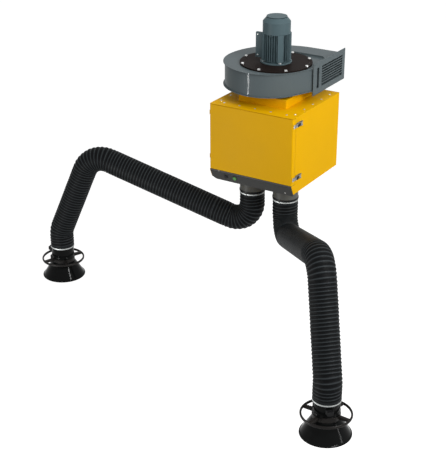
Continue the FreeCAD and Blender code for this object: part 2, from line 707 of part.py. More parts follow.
def hex_bolt(radius, seat_z, length):
    """Hexagon bolt whose head stands on a plate and whose shank goes down through it."""
    corners = [V(radius + BOLT_HEAD_RADIUS * math.cos(math.radians(60 * step)),
                 fan_y + BOLT_HEAD_RADIUS * math.sin(math.radians(60 * step)), seat_z) for step in range(6)]
    head = prism(corners, V(0, 0, BOLT_HEAD_HEIGHT))
    shank = rod(BOLT_RADIUS, V(radius, fan_y, seat_z - length), V(radius, fan_y, seat_z))
    return head.fuse(shank)


def casing_bolts():
    plate_bolt = hex_bolt(PLATE_BOLT_RADIUS, motor_plate_z, MOTOR_PLATE_THICK + CASING_PLATE)
    motor_bolt = hex_bolt(MOTOR_BOLT_RADIUS, stator_z - MOTOR_FLANGE_THICK / 2,
                          MOTOR_FLANGE_THICK / 2 + MOTOR_PLATE_THICK)
    return around(plate_bolt, PLATE_BOLT_COUNT, 0, 0, fan_y) + around(motor_bolt, 4, 45, 0, fan_y)


def motor_flange():
    """Flanged end shield: a disc that bolts down, and a raised boss under the stator."""
    z0, z1 = motor_plate_z, stator_z
    mid = (z0 + z1) / 2
    shield = turned([(SHAFT_RADIUS + RUNNING_FIT, z0), (MOTOR_FLANGE_RADIUS, z0), (MOTOR_FLANGE_RADIUS, mid),
                     (STATOR_CORE_RADIUS - SHIELD_STEP, mid), (STATOR_CORE_RADIUS - SHIELD_STEP, z1),
                     (SHAFT_RADIUS + RUNNING_FIT, z1)], 0, fan_y)
    hole = rod(BOLT_RADIUS + BOLT_CLEARANCE, V(MOTOR_BOLT_RADIUS, fan_y, z0), V(MOTOR_BOLT_RADIUS, fan_y, mid))
    return shield.cut(around(hole, 4, 45, 0, fan_y))


def stator_pads(grow):
    """Flat pads for feet or boxes at the four corners of the stator."""
    half = STATOR_PAD_WIDTH / 2 + grow
    pad = box(STATOR_CORE_RADIUS - SHEET, STATOR_PAD_RADIUS + grow, fan_y - half, fan_y + half,
              stator_z, cowl_z)
    return around(pad, STATOR_PAD_COUNT, 45, 0, fan_y)


def motor_stator():
    """Ribbed stator housing with pads; the fins leave room for the pads and the terminal box."""
    core = turned([(SHAFT_RADIUS + RUNNING_FIT, stator_z), (STATOR_CORE_RADIUS, stator_z),
                   (STATOR_CORE_RADIUS, cowl_z), (SHAFT_RADIUS + RUNNING_FIT, cowl_z)], 0, fan_y)
    fin = box(STATOR_CORE_RADIUS - SHEET, STATOR_FIN_RADIUS, fan_y - FIN_THICK / 2, fan_y + FIN_THICK / 2,
              stator_z, cowl_z)
    box_back = TERMINAL_BOX_FRONT - TERMINAL_BOX_WIDTH
    pad_bare = math.degrees(math.asin((STATOR_PAD_WIDTH / 2 + FIN_THICK) / STATOR_FIN_RADIUS))
    box_near = 180 + math.degrees(math.asin((box_back - FIN_THICK) / STATOR_FIN_RADIUS))
    box_far = 180 + math.degrees(math.asin((TERMINAL_BOX_FRONT + FIN_THICK) / STATOR_FIN_RADIUS))
    fins = []
    for index in range(FIN_COUNT):
        angle = index * 360.0 / FIN_COUNT
        from_pad = abs((angle % (360.0 / STATOR_PAD_COUNT)) - 45)
        if from_pad > pad_bare and not box_near < angle < box_far:
            copy = fin.copy()
            copy.rotate(V(0, fan_y, 0), V(0, 0, 1), angle)
            fins.append(copy)
    return joined([core] + stator_pads(0) + fins)


def motor_cowl():
    """Pressed fan cowl with a chamfered crown, and a rain cap on short posts over its air inlet."""
    z1 = cowl_z + COWL_HEIGHT
    wall = COWL_WALL
    crown = z1 - CAP_GAP - CAP_THICK
    mouth = COWL_TOP_RADIUS - 3 * wall
    cowl = turned([(COWL_RADIUS - wall, cowl_z), (COWL_RADIUS, cowl_z), (COWL_RADIUS, crown - COWL_CHAMFER),
                   (COWL_TOP_RADIUS, crown), (mouth, crown), (mouth, crown - wall),
                   (COWL_TOP_RADIUS - wall, crown - wall), (COWL_RADIUS - wall, crown - COWL_CHAMFER - wall)],
                  0, fan_y)
    cap = rod(COWL_TOP_RADIUS - wall / 2, V(0, fan_y, z1 - CAP_THICK), V(0, fan_y, z1))
    post = rod(wall, V(COWL_TOP_RADIUS - 2 * wall, fan_y, crown - wall / 2),
               V(COWL_TOP_RADIUS - 2 * wall, fan_y, z1 - CAP_THICK / 2))
    return joined([cowl, cap] + around(post, CAP_POSTS, 45, 0, fan_y))


def terminal_box():
    """Slim terminal box beside the front left pad of the stator, its lid to the front."""
    y0 = fan_y - TERMINAL_BOX_FRONT
    y1 = y0 + TERMINAL_BOX_WIDTH
    z1 = cowl_z - SEAT_FIT
    z0 = z1 - TERMINAL_BOX_HEIGHT
    case = box(-TERMINAL_BOX_REACH + SHEET, 0, y0, y1, z0 + SHEET, z1)
    lid = box(-TERMINAL_BOX_REACH, -STATOR_PAD_RADIUS + STATOR_PAD_WIDTH / 2, y0 - SHEET, y0, z0, z1)
    body = rod(STATOR_CORE_RADIUS + SEAT_FIT, V(0, fan_y, z0), V(0, fan_y, z1))
    return joined([case, lid]).cut([body] + stator_pads(SEAT_FIT))


def blade(z0, z1):
    """One backward-curved blade as a plate between two arcs."""

    def at(radius, share, shift):
        angle = math.radians(-BLADE_SWEEP * share) + shift / radius
        return V(radius * math.cos(angle), fan_y + radius * math.sin(angle), z0)

    inner, outer = IMPELLER_EYE_RADIUS, IMPELLER_RADIUS - SHEET
    middle = (inner + outer) / 2
    front = [at(inner, 0, 0), at(middle, 0.62, 0), at(outer, 1, 0)]
    rear = [at(outer, 1, BLADE_THICK), at(middle, 0.62, BLADE_THICK), at(inner, 0, BLADE_THICK)]
    wire = Part.Wire([Part.Arc(*front).toShape(), Part.LineSegment(front[2], rear[0]).toShape(),
                      Part.Arc(*rear).toShape(), Part.LineSegment(rear[2], front[0]).toShape()])
    return Part.Face(wire).extrude(V(0, 0, z1 - z0))


def impeller():
    """Backward-curved wheel: back plate with hub, shroud ring and blades between them."""
    z1 = casing_top_z - CASING_PLATE - IMPELLER_DROP
    z0 = z1 - IMPELLER_WIDTH
    bore = SHAFT_RADIUS + RUNNING_FIT
    wheel = turned([(bore, z1), (IMPELLER_RADIUS, z1), (IMPELLER_RADIUS, z1 - IMPELLER_PLATE),
                    (HUB_RADIUS, z1 - IMPELLER_PLATE), (HUB_RADIUS, z1 - HUB_HEIGHT), (bore, z1 - HUB_HEIGHT)],
                   0, fan_y)
    shroud = turned([(IMPELLER_EYE_RADIUS, z0), (IMPELLER_RADIUS, z0), (IMPELLER_RADIUS, z0 + IMPELLER_PLATE),
                     (IMPELLER_EYE_RADIUS, z0 + IMPELLER_PLATE)], 0, fan_y)
    vane = blade(z0 + IMPELLER_PLATE, z1 - IMPELLER_PLATE)
    return joined([wheel, shroud] + around(vane, BLADE_COUNT, 0, 0, fan_y))


def motor_shaft():
    hub_z = casing_top_z - CASING_PLATE - IMPELLER_DROP - HUB_HEIGHT
    end_z = cowl_z + COOLING_FAN_HEIGHT * 1.5
    return rod(SHAFT_RADIUS, V(0, fan_y, hub_z), V(0, fan_y, end_z))


def cooling_fan():
    """Small radial fan on the upper shaft end, under the cowl."""
    bore = SHAFT_RADIUS + RUNNING_FIT
    z0 = cowl_z + COOLING_FAN_HEIGHT / 3
    z1 = z0 + COOLING_FAN_HEIGHT
    disc = turned([(bore, z0), (COOLING_FAN_RADIUS, z0), (COOLING_FAN_RADIUS, z0 + SHEET),
                   (SHAFT_RADIUS + 2 * SHEET, z0 + SHEET), (SHAFT_RADIUS + 2 * SHEET, z1), (bore, z1)], 0, fan_y)
    vane = box(SHAFT_RADIUS + SHEET, COOLING_FAN_RADIUS, fan_y - SHEET / 2, fan_y + SHEET / 2, z0, z1)
    return joined([disc] + around(vane, COOLING_BLADES, 0, 0, fan_y))


def inlet_collar(side):
    """Painted tube with a flange under the floor of the cabinet."""
    inner = COLLAR_RADIUS - COLLAR_WALL
    return turned([(inner, bottom_z), (COLLAR_FLANGE_RADIUS, bottom_z),
                   (COLLAR_FLANGE_RADIUS, bottom_z - COLLAR_FLANGE), (COLLAR_RADIUS, bottom_z - COLLAR_FLANGE),
                   (COLLAR_RADIUS, collar_end_z), (inner, collar_end_z)], side * COLLAR_SPACING / 2, collar_y)


# Arms: every piece is made in the upright plane of its arm, with X outwards, and then turned in place
def place(shape, side, heading):
    shape.rotate(V(0, 0, 0), V(0, 0, 1), heading)
    shape.translate(V(side * COLLAR_SPACING / 2, collar_y, 0))
    return shape


def arm_route(rise, fall):
    """Corners of the hose: top end, shoulder, elbow, wrist and lower end."""
    shoulder = V(0, 0, bottom_z - SHOULDER_DROP)
    elbow = shoulder + V(math.cos(math.radians(rise)), 0, math.sin(math.radians(rise))) * UPPER_REACH
    wrist = elbow + V(math.cos(math.radians(fall)), 0, -math.sin(math.radians(fall))) * LOWER_REACH
    return [V(0, 0, hose_top_z), shoulder, elbow, wrist, wrist - V(0, 0, HOOD_DROP)]


class Bend:
    """Arc that rounds one corner of the hose, with the point half way round it."""

    def __init__(self, before, corner, after):
        to_before = (before - corner).normalize()
        to_after = (after - corner).normalize()
        half = to_before.getAngle(to_after) / 2
        self.turn = math.pi - 2 * half
        reach = BEND_RADIUS / math.tan(half)
        inward = (to_before + to_after).normalize()
        self.start = corner + to_before * reach
        self.end = corner + to_after * reach
        self.centre = corner + inward * (BEND_RADIUS / math.sin(half))
        self.middle = self.centre - inward * BEND_RADIUS
        self.heading = to_before * -1
        self.axis = self.heading.cross(to_after).normalize()


def straight_stations(start, end):
    heading = (end - start).normalize()
    return (end - start).Length, lambda s: (start + heading * s, heading)


def bend_stations(bend):
    spoke = bend.start - bend.centre

    def at(s):
        turn = FreeCAD.Rotation(bend.axis, math.degrees(s / BEND_RADIUS))
        return bend.centre + turn.multVec(spoke), turn.multVec(bend.heading)

    return BEND_RADIUS * bend.turn, at


def hose(runs, cuff_at_start=False, cuff_at_end=False):
    """Ribbed hose along straight runs and bends: a ruled loft through four circles a rib, less its bore."""
    total = sum(length for length, _ in runs)

    def at(s):
        for length, station in runs:
            if s <= length + 1e-6:
                return station(s)
            s -= length
        return station(length)

    def circle(s, radius):
        centre, heading = at(s)
        ring = Part.Circle(centre, heading, radius)
        ring.XAxis = V(0, 1, 0)
        return Part.Wire(ring.toShape())

    begin = CUFF_LENGTH if cuff_at_start else 0.0
    finish = total - (CUFF_LENGTH if cuff_at_end else 0.0)
    count = max(1, round((finish - begin) / RIB_PITCH))
    pitch = (finish - begin) / count
    valley = HOSE_RADIUS - RIB_DEPTH
    sections = [(0.0, CUFF_RADIUS)] if cuff_at_start else []
    if cuff_at_start:
        sections.append((begin - SHEET, CUFF_RADIUS))
    for index in range(count):
        rib = begin + index * pitch
        sections += [(rib, valley), (rib + 0.3 * pitch, valley),
                     (rib + 0.45 * pitch, HOSE_RADIUS), (rib + 0.85 * pitch, HOSE_RADIUS)]
    sections.append((finish, valley))
    if cuff_at_end:
        sections += [(finish + SHEET, CUFF_RADIUS), (total, CUFF_RADIUS)]
    outside = Part.makeLoft([circle(s, radius) for s, radius in sections], True, True)
    travelled = 0.0
    for length, station in runs:
        steps = 1 if station(0.0)[1].getAngle(station(length)[1]) < 1e-6 else count + 2
        stations = [travelled + length * step / steps for step in range(steps + 1)]
        outside = outside.cut(Part.makeLoft([circle(s, HOSE_BORE_RADIUS) for s in stations], True, True))
        travelled += length
    return outside


def clamp(end_z, side, x):
    """Band clamp round the plain cuff of the hose; side tells which way the hose runs from its end."""
    z0 = end_z + side * CLAMP_FROM_END
    z1 = z0 + side * CLAMP_WIDTH
    inner = CUFF_RADIUS + SEAT_FIT / 2
    return turned([(inner, z0), (inner + CLAMP_THICK, z0), (inner + CLAMP_THICK, z1), (inner, z1)], x)


def swivel_ring(pivot):
    """Turning ring in the collar, with the hose spigot and the bracket that carries the shoulder."""
    outer = COLLAR_RADIUS - COLLAR_WALL - RUNNING_FIT
    spigot = HOSE_BORE_RADIUS - SEAT_FIT / 2
    low = hose_top_z - SWIVEL_SPIGOT
    rim_top = collar_end_z - SEAT_FIT
    ring = turned([(outer - SWIVEL_WALL, collar_end_z + SWIVEL_SPIGOT), (outer, collar_end_z + SWIVEL_SPIGOT),
                   (outer, rim_top), (SWIVEL_RIM_RADIUS, rim_top),
                   (SWIVEL_RIM_RADIUS, hose_top_z + SEAT_FIT), (spigot, hose_top_z + SEAT_FIT),
                   (spigot, low), (spigot - SWIVEL_WALL, low),
                   (spigot - SWIVEL_WALL, collar_end_z - SWIVEL_RIM / 2)])
    pieces = [ring]
    half = LINK_HEIGHT / 2
    reach = spigot - SWIVEL_WALL / 2
    pieces.append(box(-half, half, -reach, reach, low, low + CROSS_BAR))
    inside = LINK_THICK / 2 + LINK_GAP
    for y in (inside, -inside - CHEEK_THICK):
        strap = prism([V(-half, y, low), V(half, y, low), V(pivot.x + EYE_RADIUS, y, pivot.z),
                       V(pivot.x - EYE_RADIUS, y, pivot.z)], V(0, CHEEK_THICK, 0))
        pieces += [strap, rod(EYE_RADIUS, V(pivot.x, y, pivot.z), V(pivot.x, y + CHEEK_THICK, pivot.z))]
    bore = rod(PIN_RADIUS + RUNNING_FIT, V(pivot.x, -inside - CHEEK_THICK, pivot.z),
               V(pivot.x, inside + CHEEK_THICK, pivot.z))
    return joined(pieces).cut(bore)


def pivot_pin(pivot):
    """Headed pin across a clevis, with a nut at its far end."""
    grip = LINK_THICK / 2 + LINK_GAP + CHEEK_THICK
    pin = rod(PIN_RADIUS, V(pivot.x, -grip, pivot.z), V(pivot.x, grip, pivot.z))
    head = rod(PIN_HEAD_RADIUS, V(pivot.x, grip, pivot.z), V(pivot.x, grip + PIN_HEAD, pivot.z))
    nut = rod(PIN_HEAD_RADIUS, V(pivot.x, -grip - PIN_HEAD, pivot.z), V(pivot.x, -grip, pivot.z))
    return joined([pin, head, nut])


def arm_link(near, far):
    """Flat bar with an eye at its near end and a clevis at its far end."""
    run = (far - near).Length
    half = LINK_HEIGHT / 2
    eye = LINK_THICK / 2
    cheek = eye + LINK_GAP
    pieces = [box(0, run - WEB_START, -eye, eye, -half, half),
              rod(EYE_RADIUS, V(0, -eye, 0), V(0, eye, 0))]
    for y in (cheek, -cheek - CHEEK_THICK):
        pieces.append(box(run - CHEEK_REACH, run, y, y + CHEEK_THICK, -half, half))
        pieces.append(rod(EYE_RADIUS, V(run, y, 0), V(run, y + CHEEK_THICK, 0)))
        pad = sorted((y, y + CHEEK_THICK, math.copysign(eye, y)))
        pieces.append(box(run - CHEEK_REACH, run - WEB_START, pad[0], pad[2], -half, half))
    wide = cheek + CHEEK_THICK
    link = joined(pieces)
    for x in (0, run):
        link = link.cut(rod(PIN_RADIUS + RUNNING_FIT, V(x, -wide, 0), V(x, wide, 0)))
    heading = far - near
    link.rotate(V(0, 0, 0), V(0, 1, 0), -math.degrees(math.atan2(heading.z, heading.x)))
    link.translate(near)
    return link


def wrist_bracket(pivot, axis_x, end_z):
    """Eye under the wrist pin on a bar down to a cross bar that sits on the spigot of the hood."""
    half = LINK_HEIGHT / 2
    eye = LINK_THICK / 2
    seat = end_z + HOOD_SPIGOT
    spigot = HOSE_BORE_RADIUS - SEAT_FIT
    stem = prism([V(pivot.x - half, -eye, pivot.z), V(pivot.x + half, -eye, pivot.z),
                  V(axis_x + half, -eye, seat), V(axis_x - half, -eye, seat)], V(0, 2 * eye, 0))
    bar = box(axis_x - half, axis_x + half, -spigot + half, spigot - half, seat, seat + CROSS_BAR)
    ends = []
    for side in (-1, 1):
        y0, y1 = sorted((side * (spigot - half), side * (spigot - SEAT_FIT)))
        ends.append(box(axis_x - half / 2, axis_x + half / 2, y0, y1, seat, seat + CROSS_BAR))
    head = rod(EYE_RADIUS, V(pivot.x, -eye, pivot.z), V(pivot.x, eye, pivot.z))
    bore = rod(PIN_RADIUS + RUNNING_FIT, V(pivot.x, -eye, pivot.z), V(pivot.x, eye, pivot.z))
    return joined([stem, bar, head] + ends).cut(bore)


def hood(axis_x, end_z):
    """Turned hood: spigot in the hose, straight neck, flared cone and a rolled rim."""
    spigot = HOSE_BORE_RADIUS - SEAT_FIT
    neck = HOOD_NECK_RADIUS
    bore = spigot - HOOD_WALL
    top = end_z - SEAT_FIT
    neck_end = end_z - HOOD_NECK_LENGTH
    mouth = neck_end - HOOD_CONE_HEIGHT
    shape = turned([(bore, end_z + HOOD_SPIGOT), (spigot, end_z + HOOD_SPIGOT), (spigot, top), (neck, top),
                    (neck, neck_end), (HOOD_MOUTH_RADIUS, mouth + HOOD_RIM_HEIGHT),
                    (HOOD_MOUTH_RADIUS + HOOD_RIM, mouth + HOOD_RIM_HEIGHT),
                    (HOOD_MOUTH_RADIUS + HOOD_RIM, mouth), (HOOD_MOUTH_RADIUS - HOOD_WALL, mouth),
                    (HOOD_MOUTH_RADIUS - HOOD_WALL, mouth + HOOD_RIM_HEIGHT), (bore, neck_end)], axis_x)
    z = end_z - DAMPER_DROP
    bores = rod(SPINDLE_RADIUS + RUNNING_FIT, V(axis_x - neck, 0, z), V(axis_x + neck, 0, z))
    return shape.cut(bores)


def grip_ring(axis_x, end_z):
    """Grip ring on four spokes from a band round the neck of the hood."""
    z = end_z - GRIP_DROP
    inner = HOOD_NECK_RADIUS + SEAT_FIT / 2
    ring = turned([(GRIP_RADIUS - GRIP_WIDTH, z - GRIP_HEIGHT / 2), (GRIP_RADIUS, z - GRIP_HEIGHT / 2),
                   (GRIP_RADIUS, z + GRIP_HEIGHT / 2), (GRIP_RADIUS - GRIP_WIDTH, z + GRIP_HEIGHT / 2)], axis_x)
    band_low, band_high = z - GRIP_HEIGHT / 2, z - GRIP_HEIGHT / 2 + SPOKE_HEIGHT
    band = turned([(inner, band_low), (inner + GRIP_BAND, band_low), (inner + GRIP_BAND, band_high),
                   (inner, band_high)], axis_x)
    half = SPOKE_THICK / 2
    spoke = prism([V(axis_x + inner + GRIP_BAND / 2, -half, band_low),
                   V(axis_x + GRIP_RADIUS - GRIP_WIDTH / 2, -half, band_low),
                   V(axis_x + GRIP_RADIUS - GRIP_WIDTH / 2, -half, z + GRIP_HEIGHT / 2),
                   V(axis_x + inner + GRIP_BAND / 2, -half, band_high)], V(0, SPOKE_THICK, 0))
    return joined([ring, band] + around(spoke, SPOKE_COUNT, SPOKE_FIRST, axis_x, 0))


def damper(axis_x, end_z):
    """Butterfly plate, shown open, on a spindle with a block-shaped knob on the outer side."""
    z = end_z - DAMPER_DROP
    bore = HOSE_BORE_RADIUS - SEAT_FIT - HOOD_WALL
    centre = V(axis_x, 0, z)
    plate = rod(bore - DAMPER_GAP, centre - V(0, DAMPER_THICK / 2, 0), centre + V(0, DAMPER_THICK / 2, 0))
    spindle = rod(SPINDLE_RADIUS, centre - V(HOOD_NECK_RADIUS, 0, 0),
                  centre + V(HOOD_NECK_RADIUS + KNOB_LENGTH, 0, 0))
    start = axis_x + HOOD_NECK_RADIUS + SEAT_FIT
    end = start + KNOB_LENGTH
    wide, narrow = KNOB_WIDTH / 2, KNOB_WIDTH / 3
    knob = prism([V(start, -wide, z - KNOB_HEIGHT / 2), V(end, -narrow, z - KNOB_HEIGHT / 2),
                  V(end, narrow, z - KNOB_HEIGHT / 2), V(start, wide, z - KNOB_HEIGHT / 2)],
                 V(0, 0, KNOB_HEIGHT))
    return joined([plate, spindle, knob])


def arm_points(rise, fall):
    """Route of the hose, its three bends and the three pivots inside them."""
    route = arm_route(rise, fall)
    bends = [Bend(route[index - 1], route[index], route[index + 1]) for index in (1, 2, 3)]
    return route, bends, [bend.middle for bend in bends]


def save_arm(name, side, heading, rise, fall):
    route, bends, pivots = arm_points(rise, fall)
    shoulder, elbow, wrist = bends
    axis_x, end_z = route[4].x, route[4].z

    def node(piece, *shapes):
        save(name + "_" + piece, *[place(shape, side, heading) for shape in shapes])

    def run(start, end):
        along = (end - start).normalize() * HOSE_SEAM
        return straight_stations(start + along, end - along)

    node("swivel_ring", swivel_ring(pivots[0]))
    node("collar_clamp", clamp(hose_top_z, -1, 0))
    node("neck_hose", hose([straight_stations(route[0], shoulder.start), bend_stations(shoulder)], True, False))
    node("shoulder_pin", pivot_pin(pivots[0]))
    node("upper_arm", arm_link(pivots[0], pivots[1]))
    node("upper_hose", hose([run(shoulder.end, elbow.start)]))
    node("elbow_hose", hose([bend_stations(elbow)]))
    node("lower_arm", arm_link(pivots[1], pivots[2]))
    node("lower_pins", pivot_pin(pivots[1]), pivot_pin(pivots[2]))
    node("lower_hose", hose([run(elbow.end, wrist.start)]))
    node("wrist_hose", hose([bend_stations(wrist), straight_stations(wrist.end, route[4])], False, True))
    node("wrist_bracket", wrist_bracket(pivots[2], axis_x, end_z))
    node("hood_clamp", clamp(end_z, 1, axis_x))
    node("hood", hood(axis_x, end_z))
    node("grip_ring", grip_ring(axis_x, end_z))
    node("damper", damper(axis_x, end_z))


def build():
    os.makedirs("parts", exist_ok=True)
    save("wall_brackets", wall_bracket(-1), wall_bracket(1))
    save("cabinet_shell", cabinet_shell())
    save("top_panel", top_panel())
    save("bottom_panel", bottom_panel())
    save("control_strip", control_strip())
    save("start_button", button(START_X))
    save("stop_button", button(STOP_X))
    save("filter_cartridge", filter_cartridge())
    save("hinge_pins", *[hinge_pin(height) for height in hinge_heights()])
    save("door", door())
    save("door_gasket", door_gasket())
    lower, upper = latch_heights()
    save("latch_bases", latch_base(lower), latch_base(upper))
    save("lower_latch", latch_lever(lower))
    save("upper_latch", latch_lever(upper))
    save("riser", riser())
    save("fan_scroll", fan_scroll())
    save("fan_top_plate", fan_top_plate())
    save("outlet_grille", outlet_grille())
    save("motor_plate", motor_plate())
    save("casing_bolts", *casing_bolts())
    save("motor_flange", motor_flange())
    save("motor_stator", motor_stator())
    save("motor_cowl", motor_cowl())
    save("terminal_box", terminal_box())
    save("impeller", impeller())
    save("motor_shaft", motor_shaft())
    save("cooling_fan", cooling_fan())
    save("inlet_collars", inlet_collar(-1), inlet_collar(1))
    for name, side, heading, rise, fall in ARMS:
        save_arm(name, side, heading, rise, fall)


build()
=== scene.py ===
import bpy
import bmesh
import math
from mathutils import Matrix, Vector


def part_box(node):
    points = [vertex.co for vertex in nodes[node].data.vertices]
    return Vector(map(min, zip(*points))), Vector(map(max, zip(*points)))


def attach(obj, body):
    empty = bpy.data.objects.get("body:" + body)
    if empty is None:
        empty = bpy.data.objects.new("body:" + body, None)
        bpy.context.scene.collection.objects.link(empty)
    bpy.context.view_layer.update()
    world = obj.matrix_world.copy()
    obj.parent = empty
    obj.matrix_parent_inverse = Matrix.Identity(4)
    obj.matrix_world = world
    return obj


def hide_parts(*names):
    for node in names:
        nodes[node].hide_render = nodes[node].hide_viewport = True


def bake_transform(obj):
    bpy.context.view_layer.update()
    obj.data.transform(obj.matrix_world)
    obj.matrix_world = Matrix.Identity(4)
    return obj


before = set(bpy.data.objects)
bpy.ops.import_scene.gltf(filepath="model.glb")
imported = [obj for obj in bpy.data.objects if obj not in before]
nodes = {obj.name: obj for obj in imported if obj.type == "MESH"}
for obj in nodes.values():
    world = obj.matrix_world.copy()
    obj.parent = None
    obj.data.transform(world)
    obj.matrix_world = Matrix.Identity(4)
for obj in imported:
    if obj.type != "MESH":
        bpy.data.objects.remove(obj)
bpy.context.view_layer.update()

# Cabinet: shell, roof, floor, door and the plenum under the fan are folded from thin steel sheet
# and powder coated in one glossy yellow. The coat has a fine orange peel, clouds a little over
# large panels and is a touch lighter along the bent edges, where it is thin and where a highlight is painted.
def colour(red, green, blue):
    channels = [c / 255.0 for c in (red, green, blue)]
    return [c / 12.92 if c <= 0.04045 else ((c + 0.055) / 1.055) ** 2.4 for c in channels] + [1.0]


def surface(name):
    material = bpy.data.materials.new(name)
    material.use_nodes = True
    return material, material.node_tree, material.node_tree.nodes["Principled BSDF"]


def dress(material, *names):
    for name in names:
        nodes[name].data.materials.clear()
        nodes[name].data.materials.append(material)


def sprayed_coat():
    group = bpy.data.node_groups.new("sprayed_coat", "ShaderNodeTree")
    for label, kind in (("Coat", "Color"), ("Edge coat and highlight", "Color"), ("Roughness", "Float"),
                        ("Peel scale", "Float"), ("Peel height", "Float"), ("Cloud", "Float")):
        group.interface.new_socket(label, in_out="INPUT", socket_type="NodeSocket" + kind)
    for label, kind in (("Colour", "Color"), ("Roughness", "Float"), ("Normal", "Vector")):
        group.interface.new_socket(label, in_out="OUTPUT", socket_type="NodeSocket" + kind)
    new, link = group.nodes.new, group.links.new
    given, result = new("NodeGroupInput"), new("NodeGroupOutput")
    place = new("ShaderNodeTexCoord")
    peel = new("ShaderNodeTexNoise")
    peel.inputs["Detail"].default_value = 1.5
    link(place.outputs["Object"], peel.inputs["Vector"])
    link(given.outputs["Peel scale"], peel.inputs["Scale"])
    round_edge = new("ShaderNodeBevel")
    round_edge.samples = 4
    round_edge.inputs["Radius"].default_value = 0.0022
    bump = new("ShaderNodeBump")
    bump.inputs["Strength"].default_value = 0.35
    link(given.outputs["Peel height"], bump.inputs["Distance"])
    link(peel.outputs["Fac"], bump.inputs["Height"])
    link(round_edge.outputs["Normal"], bump.inputs["Normal"])
    link(bump.outputs["Normal"], result.inputs["Normal"])
    face = new("ShaderNodeNewGeometry")
    facing = new("ShaderNodeVectorMath")
    facing.operation = "DOT_PRODUCT"
    link(face.outputs["Normal"], facing.inputs[0])
    link(round_edge.outputs["Normal"], facing.inputs[1])
    # Edge mask: the coat is painted lighter along bent edges, partly for the thin coat there and partly as a
    # painted highlight.
    edge = new("ShaderNodeMapRange")
    edge.inputs["From Min"].default_value = 0.99
    edge.inputs["From Max"].default_value = 0.85
    link(facing.outputs["Value"], edge.inputs["Value"])
    cloud = new("ShaderNodeTexNoise")
    cloud.inputs["Scale"].default_value = 3.1
    cloud.inputs["Detail"].default_value = 4.0
    link(place.outputs["Object"], cloud.inputs["Vector"])
    centred = new("ShaderNodeMath")
    centred.operation = "SUBTRACT"
    centred.inputs[1].default_value = 0.5
    link(cloud.outputs["Fac"], centred.inputs[0])
    swing = new("ShaderNodeMath")
    swing.operation = "MULTIPLY"
    link(centred.outputs[0], swing.inputs[0])
    link(given.outputs["Cloud"], swing.inputs[1])
    value = new("ShaderNodeMath")
    value.operation = "ADD"
    value.inputs[1].default_value = 1.0
    link(swing.outputs[0], value.inputs[0])
    tint = new("ShaderNodeHueSaturation")
    link(given.outputs["Coat"], tint.inputs["Color"])
    link(value.outputs[0], tint.inputs["Value"])
    worn_and_lit = new("ShaderNodeMix")
    worn_and_lit.data_type = "RGBA"
    link(edge.outputs["Result"], worn_and_lit.inputs["Factor"])
    link(tint.outputs["Color"], worn_and_lit.inputs[6])
    link(given.outputs["Edge coat and highlight"], worn_and_lit.inputs[7])
    link(worn_and_lit.outputs[2], result.inputs["Colour"])
    rough = new("ShaderNodeMath")
    rough.operation = "ADD"
    link(given.outputs["Roughness"], rough.inputs[0])
    link(swing.outputs[0], rough.inputs[1])
    link(rough.outputs[0], result.inputs["Roughness"])
    return group


coat_group = sprayed_coat()


def coat(name, paint, edge_paint_and_highlight, roughness, peel_scale=900.0, peel_height=0.0004, cloud=0.12,
         coat_weight=0.0, gloss=0.4):
    material, tree, shader = surface(name)
    layer = tree.nodes.new("ShaderNodeGroup")
    layer.node_tree = coat_group
    layer.inputs["Coat"].default_value = paint
    layer.inputs["Edge coat and highlight"].default_value = edge_paint_and_highlight
    layer.inputs["Roughness"].default_value = roughness
    layer.inputs["Peel scale"].default_value = peel_scale
    layer.inputs["Peel height"].default_value = peel_height
    layer.inputs["Cloud"].default_value = cloud
    tree.links.new(layer.outputs["Colour"], shader.inputs["Base Color"])
    tree.links.new(layer.outputs["Roughness"], shader.inputs["Roughness"])
    tree.links.new(layer.outputs["Normal"], shader.inputs["Normal"])
    shader.inputs["Specular IOR Level"].default_value = gloss
    shader.inputs["Coat Weight"].default_value = coat_weight
    shader.inputs["Coat Roughness"].default_value = 0.06
    return material


yellow_coat = coat("yellow_powder_coat", colour(243, 184, 8), colour(252, 204, 40), roughness=0.36,
                   gloss=0.01)
dress(yellow_coat, "cabinet_shell", "top_panel", "bottom_panel", "door", "riser")

# Roof screws: pan-head screws hold the roof to the shell, in a row along its front and one along
# each side. Each is a domed head on a thin washer, zinc plated and still bright.
FRONT_ROW_INSET = 0.054
FRONT_ROW_PITCH = 0.112
SIDE_ROW_INSET = 0.034
SIDE_ROW_START = 0.087
SIDE_ROW_PITCH = 0.116
SCREWS_A_ROW = 5
ROOF_SCREW_HEAD = (0.0052, 0.003)
WASHER_WIDTH = 1.35
WASHER_HEIGHT = 0.5


def plated_steel(name, base, roughness, scratch_scale):
    material, tree, shader = surface(name)
    new, link = tree.nodes.new, tree.links.new
    place = new("ShaderNodeTexCoord")
    scratch = new("ShaderNodeTexNoise")
    scratch.inputs["Scale"].default_value = scratch_scale
    scratch.inputs["Detail"].default_value = 6.0
    link(place.outputs["Object"], scratch.inputs["Vector"])
    shade = new("ShaderNodeValToRGB")
    shade.color_ramp.elements[0].color = [c * 0.72 for c in base[:3]] + [1.0]
    shade.color_ramp.elements[1].color = base
    link(scratch.outputs["Fac"], shade.inputs["Fac"])
    link(shade.outputs["Color"], shader.inputs["Base Color"])
    dull = new("ShaderNodeMapRange")
    dull.inputs["To Min"].default_value = roughness - 0.08
    dull.inputs["To Max"].default_value = roughness + 0.12
    link(scratch.outputs["Fac"], dull.inputs["Value"])
    link(dull.outputs["Result"], shader.inputs["Roughness"])
    shader.inputs["Metallic"].default_value = 1.0
    return material


zinc = plated_steel("bright_zinc", colour(214, 216, 214), roughness=0.3, scratch_scale=60.0)


